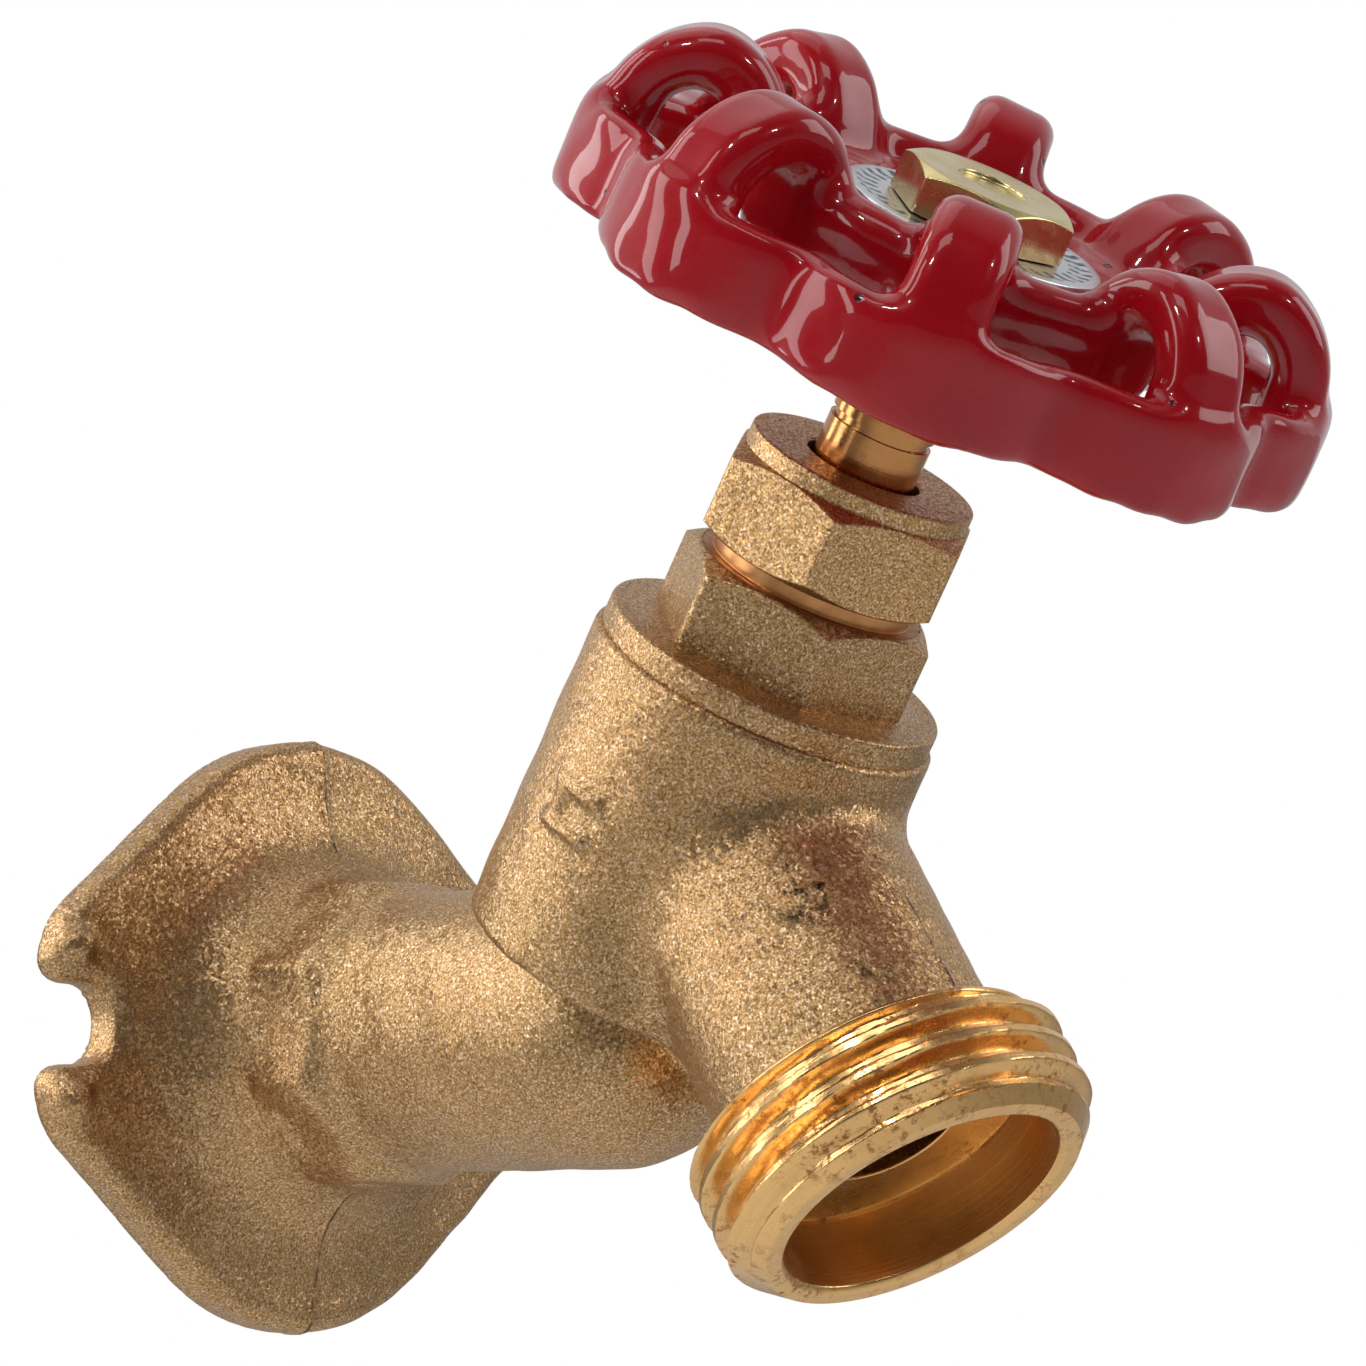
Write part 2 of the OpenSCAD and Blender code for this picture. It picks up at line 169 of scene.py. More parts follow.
class HoseBibSizes(bpy.types.PropertyGroup):
    """Sizes that shape the castings and the turned pieces."""

    casting_grid: length("Casting grid", "Grid that the body casting is skinned on", 0.405)
    wheel_grid: length("Wheel grid", "Grid that the handwheel is skinned on", 0.32)
    flange_ridge: length("Flange ridge", "Thickness of the flange along its middle", 4.3)
    ear_thickness: length("Ear thickness", "Thickness of the flange at an ear's tip", 2.7)
    slot_width: length("Slot width", "Width of a screw slot", 5.7)
    slot_depth: length("Slot depth", "Depth of a screw slot from the ear's tip", 5.85)
    boss_flats: length("Boss flats", "Distance across the flats of the wrench boss", 21.4)
    boss_start: length("Boss start", "Where the wrench boss begins, from the wall", 9.5)
    boss_end: length("Boss end", "Where the wrench boss ends, from the wall", 14.2)
    pipe_radius: length("Pipe radius", "Outer radius of the inlet pipe", 9.93)
    barrel_radius: length("Barrel radius", "Outer radius of the barrel", 12.43)
    barrel_low: length("Barrel foot", "Lower edge of the barrel along the stem", 4.4)
    spout_radius: length("Spout radius", "Outer radius of the plain spout", 10.1)
    thread_pitch: length("Hose thread pitch", "Pitch of the hose thread", 2.209)
    thread_run: length("Hose thread length", "Length of the threaded end", 9.3)
    nut_flats: length("Nut flats", "Distance across the flats of bonnet and nut", 16.6)
    screw_flats: length("Handle screw flats", "Distance across the handle screw's flats", 11.1)
    arch_width: length("Arch width", "Width of a handwheel arch", 6.0)
    arch_thickness: length("Arch thickness", "Thickness of a handwheel arch", 4.2)
    arch_span: length("Arch span", "Distance that an arch spans", 13.0)
    band_height: length("Band height", "Height of the handwheel's band", 6.9)
    arch_inset: length("Arch inset", "How far the arches stand inside the lobes", 0.8)
    band_thickness: length("Band thickness", "Thickness of the handwheel's band", 2.9)
    lobe_radius: length("Lobe radius", "Radius of one handwheel lobe", 11.4)
    lobes: IntProperty(name="Lobes", description="Lobes on the handwheel", default=8, min=3, max=16)


class HoseBibColours(bpy.types.PropertyGroup):
    """Base colours of the finishes."""

    cast: colour("Cast brass", "Shot-blasted casting", (0.55, 0.322, 0.130))
    cast_dark: colour("Cast brass stain", "Darker patches on the casting", (0.30, 0.185, 0.095))
    turned: colour("Turned brass", "Bright machined brass", (0.92, 0.575, 0.235))
    pale: colour("Pale brass", "Handle screw", (0.74, 0.62, 0.30))
    enamel: colour("Red enamel", "Dipped enamel on the handwheel", (0.42, 0.003, 0.010))
    disc: colour("Disc", "Thin metal disc", (0.70, 0.72, 0.76))


def sizes():
    return bpy.context.scene.hose_bib_sizes


def tints():
    return bpy.context.scene.hose_bib_colours


# ---------------------------------------------------------------- finishes

class Finish:
    """A material's node tree, with short calls that add and join nodes."""

    def __init__(self, name):
        self.material = bpy.data.materials.new(name)
        self.material.use_nodes = True
        self.tree = self.material.node_tree
        self.shader = self.tree.nodes["Principled BSDF"]
        self.place = self.add("ShaderNodeTexCoord").outputs["Object"]

    def add(self, kind, inputs=None, **settings):
        node = self.tree.nodes.new(kind)
        for key, value in settings.items():
            setattr(node, key, value)
        for key, value in (inputs or {}).items():
            self.feed(node.inputs[key], value)
        return node

    def feed(self, socket, value):
        if isinstance(value, bpy.types.NodeSocket):
            self.tree.links.new(value, socket)
        else:
            socket.default_value = value

    def noise(self, size_mm, detail=3.0, rough=0.55, place=None, distort=0.0):
        """Noise whose features are about size_mm across."""
        node = self.add("ShaderNodeTexNoise", {
            "Vector": place or self.place, "Scale": 1.0 / (size_mm * MM), "Detail": detail,
            "Roughness": rough, "Distortion": distort})
        return node.outputs["Fac"]

    def cells(self, size_mm, output="Distance", feature="F1"):
        node = self.add("ShaderNodeTexVoronoi", {
            "Vector": self.place, "Scale": 1.0 / (size_mm * MM)}, feature=feature)
        return node.outputs[output]

    def ramp(self, value, low, high, low_to=0.0, high_to=1.0):
        """Maps low..high to low_to..high_to, held at both ends."""
        node = self.add("ShaderNodeMapRange", {
            "Value": value, "From Min": low, "From Max": high, "To Min": low_to, "To Max": high_to})
        return node.outputs["Result"]

    def maths(self, operation, first, second=0.0):
        node = self.add("ShaderNodeMath", operation=operation)
        self.feed(node.inputs[0], first)
        self.feed(node.inputs[1], second)
        return node.outputs[0]

    def mix(self, share, first, second, blend="MIX"):
        """Mixes two colours by share."""
        node = self.add("ShaderNodeMix", data_type="RGBA", blend_type=blend)
        self.feed(node.inputs["Factor"], share)
        self.feed(node.inputs[6], self.rgba(first))
        self.feed(node.inputs[7], self.rgba(second))
        return node.outputs[2]

    @staticmethod
    def rgba(value):
        if isinstance(value, bpy.types.NodeSocket):
            return value
        return (*value, 1.0)

    def bump(self, height, depth_mm, strength=1.0, under=None):
        """A bump of height 0..1 times depth_mm, laid over another bump."""
        inputs = {"Height": height, "Distance": depth_mm * MM, "Strength": strength}
        if under is not None:
            inputs["Normal"] = under
        return self.add("ShaderNodeBump", inputs).outputs["Normal"]

    def near(self, spot_mm, radius_mm):
        """1 at a spot in the row frame, fading to 0 at a radius."""
        away = self.add("ShaderNodeVectorMath", {0: self.place}, operation="DISTANCE")
        away.inputs[1].default_value = [c * MM for c in spot_mm]
        return self.ramp(away.outputs["Value"], 0.0, radius_mm * MM, 1.0, 0.0)

    def tilted(self, size_mm, amount):
        """The surface normal, leaned a different way in every grain."""
        node = self.add("ShaderNodeTexVoronoi", {"Vector": self.place, "Scale": 1.0 / (size_mm * MM)})
        centred = self.add("ShaderNodeVectorMath", {0: node.outputs["Color"]}, operation="SUBTRACT")
        centred.inputs[1].default_value = (0.5, 0.5, 0.5)
        scaled = self.add("ShaderNodeVectorMath", {0: centred.outputs["Vector"]}, operation="SCALE")
        scaled.inputs["Scale"].default_value = amount
        normal = self.add("ShaderNodeNewGeometry").outputs["Normal"]
        total = self.add("ShaderNodeVectorMath", {0: normal, 1: scaled.outputs["Vector"]}, operation="ADD")
        unit = self.add("ShaderNodeVectorMath", {0: total.outputs["Vector"]}, operation="NORMALIZE")
        return unit.outputs["Vector"]

    def seam(self, low_mm, high_mm):
        """1 on a thin broken line in the plane of symmetry, inside a box; 0 elsewhere."""
        parts = self.add("ShaderNodeSeparateXYZ", {"Vector": self.place})
        wander = self.ramp(self.noise(5.0, 2.0), 0.0, 1.0, -0.35 * MM, 0.35 * MM)
        aside = self.maths("ABSOLUTE", self.maths("ADD", parts.outputs["Y"], wander))
        mask = self.ramp(aside, 0.05 * MM, 0.17 * MM, 1.0, 0.0)
        mask = self.maths("MULTIPLY", mask, self.ramp(self.noise(1.6, 3.0, 0.7), 0.44, 0.58, 0.1, 0.85))
        for axis in ("X", "Z"):
            i = "XYZ".index(axis)
            above = self.maths("GREATER_THAN", parts.outputs[axis], low_mm[i] * MM)
            below = self.maths("LESS_THAN", parts.outputs[axis], high_mm[i] * MM)
            mask = self.maths("MULTIPLY", mask, self.maths("MULTIPLY", above, below))
        return mask

    def about(self, axis):
        """Heights along an axis and radii from it, as two sockets in metres."""
        turn = self.add("ShaderNodeMapping", {"Vector": self.place}, vector_type="POINT")
        back = axis.matrix().inverted()
        turn.inputs["Location"].default_value = back.translation
        turn.inputs["Rotation"].default_value = back.to_euler()
        parts = self.add("ShaderNodeSeparateXYZ", {"Vector": turn.outputs["Vector"]})
        flat = self.add("ShaderNodeCombineXYZ", {"X": parts.outputs["X"], "Y": parts.outputs["Y"]})
        radius = self.add("ShaderNodeVectorMath", {0: flat.outputs["Vector"]}, operation="LENGTH")
        self.turned_x, self.turned_y = parts.outputs["X"], parts.outputs["Y"]
        return parts.outputs["Z"], radius.outputs["Value"]

    def turning_lines(self, axis, size_mm):
        """Fine rings left by a lathe tool: noise that changes only with height and radius."""
        height, radius = self.about(axis)
        place = self.add("ShaderNodeCombineXYZ", {"X": height, "Y": radius})
        return self.noise(size_mm, detail=2.0, rough=0.6, place=place.outputs["Vector"])


def grainy_brass(name, base, stain, grain_mm=0.22, tilt=0.32, stains=1.0, marks=(), seams=()):
    """Shot-blasted cast brass: grains that each catch the light, pale specks painted in as glints, broad patches, dark
    smears, seams.

    A seam is (low corner, high corner) in millimetres of the box in which the parting line shows.
    """
    f = Finish(name)
    patches = f.ramp(f.noise(9.0, 2.5, 0.55), 0.45, 0.72)
    broad = f.mix(f.maths("MULTIPLY", patches, 0.42 * stains), base, stain)
    olive = tuple(c * m for c, m in zip(base, (0.80, 0.84, 0.80)))
    tinted = f.mix(f.ramp(f.noise(14.0, 2.0, 0.5), 0.42, 0.66, 0.0, 0.7), broad, olive)
    speck = f.noise(grain_mm * 0.75, 2.0, 0.6)
    # light is whitened brass laid on the pale specks: painted glints, standing in for highlights off the grains.
    light = tuple(0.45 + 0.55 * min(1.0, c * 1.5) for c in base)
    dark = tuple(c * 0.33 for c in base)
    with_painted_glints = f.mix(f.ramp(speck, 0.54, 0.68, 0.0, 0.85), tinted, light)
    tone = f.mix(f.ramp(speck, 0.48, 0.34, 0.0, 0.85), with_painted_glints, dark)
    smear = tuple(c * 0.16 for c in stain)
    for spot, radius, weight in marks:
        ragged = f.ramp(f.noise(1.9, 5.0, 0.72), 0.50, 0.60)
        share = f.maths("MULTIPLY", f.ramp(f.near(spot, radius), 0.0, 0.45), ragged)
        tone = f.mix(f.maths("MULTIPLY", share, weight), tone, smear)
    for low, high in seams:
        tone = f.mix(f.seam(low, high), tone, smear)
    f.feed(f.shader.inputs["Base Color"], tone)
    f.shader.inputs["Metallic"].default_value = 1.0
    f.feed(f.shader.inputs["Roughness"], f.ramp(speck, 0.3, 0.7, 0.50, 0.32))
    facets = f.tilted(grain_mm, tilt)
    swell = f.bump(f.noise(2.4, 2.0, 0.5), 0.05, under=facets)
    coarse = f.bump(f.noise(grain_mm * 1.7, 2.0, 0.6), 0.020, under=swell)
    f.feed(f.shader.inputs["Normal"], f.bump(speck, 0.016, under=coarse))
    return f.material


def turned_brass(name, base, axis, line_mm=0.12, depth_mm=0.006, rough=0.17, tarnish=0.25, scuffs=0.0):
    """Bright brass off the lathe: rings, faint tarnish, varied gloss and, where asked, brown scuffs."""
    f = Finish(name)
    lines = f.turning_lines(axis, line_mm)
    cloudy = f.noise(3.5, 4.0, 0.6)
    deep = tuple(c * m for c, m in zip(base, (0.62, 0.48, 0.38)))
    tone = f.mix(f.ramp(cloudy, 0.45, 0.75, 0.0, tarnish), base, deep)
    tone = f.mix(f.ramp(lines, 0.35, 0.65, 0.0, 0.18), tone, deep)
    gloss = f.ramp(cloudy, 0.3, 0.7, rough * 0.75, rough * 1.5)
    if scuffs > 0.0:
        ragged = f.ramp(f.noise(0.9, 5.0, 0.75), 0.52, 0.62)
        ragged = f.maths("MULTIPLY", ragged, f.ramp(f.noise(5.0, 2.0), 0.40, 0.60))
        ragged = f.maths("MULTIPLY", ragged, scuffs)
        tone = f.mix(ragged, tone, tuple(c * m for c, m in zip(base, (0.40, 0.26, 0.22))))
        gloss = f.maths("ADD", gloss, f.maths("MULTIPLY", ragged, 0.3))
    f.feed(f.shader.inputs["Base Color"], tone)
    f.shader.inputs["Metallic"].default_value = 1.0
    f.feed(f.shader.inputs["Roughness"], gloss)
    dents = f.bump(f.noise(1.1, 3.0, 0.6), 0.03 * scuffs)
    f.feed(f.shader.inputs["Normal"], f.bump(lines, depth_mm, under=dents))
    return f.material


def dipped_enamel(name, base):
    """Thick glossy enamel: smooth flowed surface, deeper colour where it is thick, rare pinholes."""
    f = Finish(name)
    flow = f.noise(9.0, 2.0, 0.45)
    deep = tuple(c * 0.6 for c in base)
    tone = f.mix(f.ramp(flow, 0.4, 0.7, 0.0, 0.35), base, deep)
    holes = f.ramp(f.cells(5.5), 0.060, 0.040)
    f.feed(f.shader.inputs["Base Color"], f.mix(holes, tone, tuple(c * 0.1 for c in base)))
    f.feed(f.shader.inputs["Roughness"], f.ramp(f.noise(1.2, 3.0), 0.3, 0.7, 0.22, 0.34))
    f.shader.inputs["Specular IOR Level"].default_value = 0.12
    f.shader.inputs["Coat Weight"].default_value = 1.0
    f.shader.inputs["Coat IOR"].default_value = 1.42
    f.shader.inputs["Coat Roughness"].default_value = 0.035
    broad = f.bump(flow, 0.22)
    skinned = f.bump(f.noise(2.6, 2.0, 0.4), 0.016, under=broad)
    pitted = f.bump(holes, -0.12, under=skinned)
    f.feed(f.shader.inputs["Normal"], pitted)
    f.feed(f.shader.inputs["Coat Normal"], pitted)
    return f.material


def printed_disc(name, base, axis, centre_height):
    """Thin satin aluminium with a plain printed ring of short bars."""
    f = Finish(name)
    lines = f.turning_lines(axis, 0.10)
    angle = f.maths("ARCTAN2", f.turned_y, f.turned_x)
    height, radius = f.about(axis)
    inner = f.ramp(radius, 6.9 * MM, 7.0 * MM)
    outer = f.ramp(radius, 8.6 * MM, 8.5 * MM)
    bars = f.ramp(f.maths("SINE", f.maths("MULTIPLY", angle, 36.0)), 0.0, 0.15)
    ink = f.maths("MULTIPLY", f.maths("MULTIPLY", inner, outer), bars)
    worn = f.maths("MULTIPLY", ink, f.ramp(f.noise(0.8, 4.0, 0.7), 0.38, 0.5))
    bright = f.mix(f.ramp(f.noise(3.0, 3.0), 0.4, 0.7, 0.0, 0.4), base, tuple(c * 0.7 for c in base))
    f.feed(f.shader.inputs["Base Color"], f.mix(worn, bright, (0.03, 0.05, 0.09)))
    f.feed(f.shader.inputs["Metallic"], f.ramp(worn, 0.0, 1.0, 1.0, 0.0))
    f.feed(f.shader.inputs["Roughness"], f.ramp(lines, 0.3, 0.7, 0.24, 0.40))
    f.feed(f.shader.inputs["Normal"], f.bump(lines, 0.004))
    return f.material


def soft_seal(name, base, axis, rough):
    """Rubber, fibre or graphite: dull, with a fine pitted surface."""
    f = Finish(name)
    tone = f.mix(f.noise(1.5, 4.0), base, tuple(c * 1.8 for c in base))
    f.feed(f.shader.inputs["Base Color"], tone)
    f.feed(f.shader.inputs["Roughness"], f.ramp(f.noise(0.6), 0.3, 0.7, rough, min(1.0, rough + 0.2)))
    f.feed(f.shader.inputs["Normal"], f.bump(f.noise(0.25, 3.0, 0.6), 0.02))
    return f.material


# ---------------------------------------------------------------- skinning a distance field

def join(first, second, blend):
    """Distance to either of two shapes, with a fillet of about blend where they meet."""
    h = np.clip(0.5 + 0.5 * (second - first) / blend, 0.0, 1.0)
    return second + (first - second) * h - blend * h * (1.0 - h)


def meet(first, second, blend):
    """Distance to what two shapes share, with the edge between them rounded."""
    return -join(-first, -second, blend)


def carve(first, second, blend):
    """Distance to the first shape with the second taken out of it."""
    return meet(first, -second, blend)


def ease(value, low, high):
    """0 below low, 1 above high, smooth between."""
    h = np.clip((value - low) / (high - low), 0.0, 1.0)
    return h * h * (3.0 - 2.0 * h)


CORNERS = [(i, j, k) for i in (0, 1) for j in (0, 1) for k in (0, 1)]
EDGES = [(a, b) for a in range(8) for b in range(a + 1, 8)
         if sum(abs(m - n) for m, n in zip(CORNERS[a], CORNERS[b])) == 1]


def skin(field, low, high, step):
    """Vertices and four-sided faces of a distance field's zero surface, one vertex a grid cell."""
    axes = [np.arange(low[i] - 2 * step, high[i] + 2 * step, step) for i in range(3)]
    shape = tuple(len(a) for a in axes)
    values = np.empty(shape, dtype=np.float32)
    plane = np.stack(np.meshgrid(axes[1], axes[2], indexing="ij"), axis=-1)
    for i, x in enumerate(axes[0]):
        points = np.concatenate((np.full(plane.shape[:2] + (1,), x), plane), axis=-1)
        values[i] = field(points)
    solid = values < 0
    count = sum(solid[i:shape[0] - 1 + i, j:shape[1] - 1 + j, k:shape[2] - 1 + k].astype(np.int8)
                for i, j, k in CORNERS)
    cells = np.argwhere((count > 0) & (count < 8))
    number = np.full(count.shape, -1, dtype=np.int64)
    number[tuple(cells.T)] = np.arange(len(cells))
    at = [values[tuple((cells + c).T)] for c in CORNERS]
    total = np.zeros((len(cells), 3))
    hits = np.zeros(len(cells))
    for a, b in EDGES:
        crossed = (at[a] < 0) != (at[b] < 0)
        share = at[a] / np.where(crossed, at[a] - at[b], 1.0)
        spot = np.array(CORNERS[a]) + share[:, None] * (np.array(CORNERS[b]) - np.array(CORNERS[a]))
        total += np.where(crossed[:, None], spot, 0.0)
        hits += crossed
    start = np.array([a[0] for a in axes])
    vertices = start + (cells + total / hits[:, None]) * step
    vertices = settle(field, vertices, step)
    faces = []
    for axis in range(3):
        one, two = (axis + 1) % 3, (axis + 2) % 3
        ahead = np.take(solid, range(1, shape[axis]), axis)
        behind = np.take(solid, range(shape[axis] - 1), axis)
        edges = np.argwhere(ahead != behind)
        edges = edges[(edges[:, one] > 0) & (edges[:, two] > 0)
                      & (edges[:, one] < shape[one] - 1) & (edges[:, two] < shape[two] - 1)]
        outward = behind[tuple(edges.T)]
        ring = []
        for back_one, back_two in ((0, 0), (1, 0), (1, 1), (0, 1)):
            cell = edges.copy()
            cell[:, one] -= back_one
            cell[:, two] -= back_two
            ring.append(number[tuple(cell.T)])
        quad = np.stack(ring, axis=1)
        quad[~outward] = quad[~outward][:, ::-1]
        faces.append(quad)
    return vertices, np.concatenate(faces)


def settle(field, points, step, rounds=3):
    """Moves points onto the field's zero surface along its slope."""
    nudge = 0.25 * step
    for _ in range(rounds):
        value = field(points)
        slope = np.stack([
            (field(points + nudge * e) - field(points - nudge * e)) / (2 * nudge)
            for e in np.eye(3)], axis=-1)
        size = np.maximum((slope ** 2).sum(axis=-1), 0.05)
        move = value[:, None] * slope / size[:, None]
        points = points - np.clip(move, -0.5 * step, 0.5 * step)
    return points


def make_mesh(name, vertices_mm, faces, material):
    """A smooth-shaded object in the row frame from rows of millimetres."""
    mesh = bpy.data.meshes.new(name)
    mesh.from_pydata((vertices_mm * MM).tolist(), [], [tuple(f) for f in faces])
    mesh.validate()
    mesh.polygons.foreach_set("use_smooth", [True] * len(mesh.polygons))
    mesh.materials.append(material)
    piece = bpy.data.objects.new(name, mesh)
    bpy.context.scene.collection.objects.link(piece)
    return piece


# ---------------------------------------------------------------- turned pieces

def softer_min(first, second, blend=0.08):
    return join(first, second, blend)


def flats(angle, flat_distance, count, turn_degrees):
    """Radius of a regular prism with slightly broken corners, at each angle."""
    sharp = 70.0
    total = np.zeros_like(angle)
    for k in range(count):
        face = np.abs(np.clip(np.cos(angle - math.radians(turn_degrees) - 2 * math.pi * k / count), 0, 1))
        total += face ** sharp
    return flat_distance * total ** (-1.0 / sharp)


def rounded_path(corners, radius, arc_steps=4):
    """A profile of (radius, height) points with each corner rounded and held by close points.

    A corner may carry a rounding of its own as a third number.
    """
    path = []
    for i, corner in enumerate(corners):
        here = np.array(corner[:2], dtype=float)
        turn = corner[2] if len(corner) > 2 else radius
        before = np.array(corners[i - 1][:2], dtype=float)
        after = np.array(corners[(i + 1) % len(corners)][:2], dtype=float)
        room = min(np.linalg.norm(before - here), np.linalg.norm(after - here)) * 0.4
        turn = min(turn, room)
        if turn <= 0:
            path.append(tuple(here))
            continue
        back = (before - here) / np.linalg.norm(before - here)
        ahead = (after - here) / np.linalg.norm(after - here)
        path.append(tuple(here + back * min(turn * 1.6, room * 1.2)))
        for k in range(arc_steps + 1):
            share = k / arc_steps
            curve = (1 - share) ** 2 * back + share ** 2 * ahead
            path.append(tuple(here + curve * turn))
        path.append(tuple(here + ahead * min(turn * 1.6, room * 1.2)))
    return path


def turned(name, axis, path, material, shape=None, segments=256, zone=None):
    """A closed ring-shaped or solid piece: a closed profile swept round an axis.

    shape(radius, height, angle) may bend each point's radius, for hexagons and threads.
    zone is (material, test): faces whose radius and height pass the test take that material.
    """
    angle = np.arange(segments) * 2 * math.pi / segments
    rows = np.array(path, dtype=float)
    radius = np.repeat(rows[:, :1], segments, axis=1)
    height = np.repeat(rows[:, 1:2], segments, axis=1)
    if shape is not None:
        radius = shape(radius, height, np.broadcast_to(angle, radius.shape))
    points = np.stack((radius * np.cos(angle), radius * np.sin(angle), height), axis=-1)
    count = len(rows)
    vertices = axis.world(points.reshape(-1, 3))
    row, column = np.meshgrid(np.arange(count), np.arange(segments), indexing="ij")
    next_row, next_column = (row + 1) % count, (column + 1) % segments
    quads = np.stack((row * segments + column, row * segments + next_column,
                      next_row * segments + next_column, next_row * segments + column), axis=-1)
    piece = make_mesh(name, vertices, quads.reshape(-1, 4), material)
    piece.data.set_sharp_from_angle(angle=math.radians(34.0))
    if zone is not None:
        piece.data.materials.append(zone[0])
        middle = (radius + np.roll(radius, -1, axis=0)) / 2
        level = (height + np.roll(height, -1, axis=0)) / 2
        piece.data.polygons.foreach_set("material_index", zone[1](middle, level).astype(np.int32).ravel())
    return piece


def hex_shape(flat_distance, turn, low, high, cone_low=None, cone_high=None):
    """Bends radii between two heights to a hexagon, with corners turned off where a cone is given.

    A cone is (height of its end face, radius there, +1 or -1 for the way it opens).
    """
    def shape(radius, height, angle):
        limit = np.repeat(flats(angle[:1], flat_distance, 6, turn), len(radius), axis=0)
        for cone in (cone_low, cone_high):
            if cone is not None:
                face, start, way = cone
                limit = softer_min(limit, start + (height - face) * way / math.tan(math.radians(30)))
        inside = (height >= low - 1e-6) & (height <= high + 1e-6)
        return np.where(inside, softer_min(radius, limit, 0.02), radius)
    return shape


def climb(radius, low, high, steps):
    """Points straight up at one radius."""
    return [(radius, h) for h in np.linspace(low, high, steps)]


# ---------------------------------------------------------------- the body casting

def flange_field(x, y, z, size):
    """The wall flange: round above and below, an open slot in each ear, thickest in the middle."""
    half_w, half_h = BODY_HIGH[1], size["flange_half_height"]
    peak = half_h * 1.238
    ear_z = peak * 0.262
    slope = (peak - ear_z) / half_w
    secant = math.sqrt(1.0 + slope * slope)
    cap_r = (peak - half_h) / (secant - 1.0)
    wide, tall = np.abs(y), np.abs(z)
    side = (tall + slope * wide - peak) / secant
    over = tall - (half_h - cap_r)
    outline = np.where(wide < slope * over, np.hypot(y, over) - cap_r, side)
    outline = meet(outline, wide - half_w, 2.4)
    slot_r = size["slot_width"] / 2
    along = wide - (half_w - size["slot_depth"] + slot_r)
    flared = slot_r + 1.1 * np.clip((along - 0.9) / 2.3, 0.0, 1.2) ** 2
    slot = np.where(along < 0, np.hypot(along, z) - slot_r, tall - flared)
    outline = carve(outline, slot, 0.9)
    ridge, ear = size["flange_ridge"], size["ear_thickness"]
    soft = np.sqrt(wide * wide + 0.6) / half_w
    front = x - (ridge - (ridge - ear) * soft - 0.45 * ease(tall, 12.0, half_h))
    plate = meet(outline, front, 1.5)
    nub = np.sqrt((x - ear + 0.1) ** 2 + (wide - half_w + 1.75) ** 2 + (tall - ear_z * 0.78) ** 2) - 1.25
    plate = join(plate, nub, 1.0)
    return meet(plate, -x, 0.4)


def inlet_field(x, y, z, size):
    """Hollow flare, eight-sided wrench boss with a turned-off end, and the round pipe."""
    flat, start, end, pipe_r = (size[k] for k in ("boss_half", "boss_start", "boss_end", "pipe_radius"))
    out = np.hypot(y, z)
    rise = (start - x) / (start - size["ear_thickness"])
    rise = np.clip(rise, 0.0, 1.0)
    curve = flat + 0.25 + 1.5 * rise + 5.6 * rise ** 2.6
    lean = (1.5 + 14.6 * rise ** 1.6) / (start - size["ear_thickness"])
    flare = (out - curve) / np.sqrt(1.0 + lean * lean)
    flare = np.maximum(flare, np.maximum(x - start, -x))
    wide, tall = np.abs(y), np.abs(z)
    eight = meet(meet(wide, tall, 0.22), (wide + tall) * math.sqrt(0.5), 0.22) - flat
    cone = ((out - flat - 0.9) * 3.1 + (x - end + 0.9) * 2.85) / math.hypot(3.1, 2.85)
    boss = np.maximum(meet(eight, cone, 0.45), start - 1.0 - x)
    past = np.maximum(x - size["pipe_end"], 0.0)
    pipe = np.maximum(np.hypot(out, past) - pipe_r, -x)
    return flare, boss, pipe


def waterway_field(x, y, z, stem, spout, size):
    """Everything hollow: solder cup, passage, seat, chamber, bonnet bore and outlet hole."""
    out = np.hypot(y, z)
    cup = np.maximum(out - size["cup_r"], x - size["cup_depth"])
    passage = np.maximum(out - size["passage_r"], x - size["pipe_end"] - 0.3)
    a, b, s = stem
    around = np.hypot(a, b)
    seat = np.maximum(around - size["seat_r"], np.maximum(-s, s - size["seat_s"] - 0.5))
    room = np.maximum(around - size["chamber_r"], np.maximum(size["seat_s"] - 1.8 - s, s - BONNET.low - 1))
    ring = np.maximum(around - size["seat_r"] - 1.5, s - size["seat_s"])
    room = np.maximum(room, -ring)
    bore = np.maximum(around - size["bonnet_bore"], np.maximum(BONNET.low - s, s - GASKET.high - 2))
    step = np.maximum(around - GASKET.outer - 0.06, GASKET.low - 0.03 - s)
    u, v, t = spout
    hole = np.maximum(np.hypot(u, v) - size["outlet_hole"], size["spout_start"] + 2.0 - t)
    every = np.minimum(np.minimum(cup, passage), np.minimum(seat, room))
    return np.minimum(np.minimum(every, bore), np.minimum(step, hole))


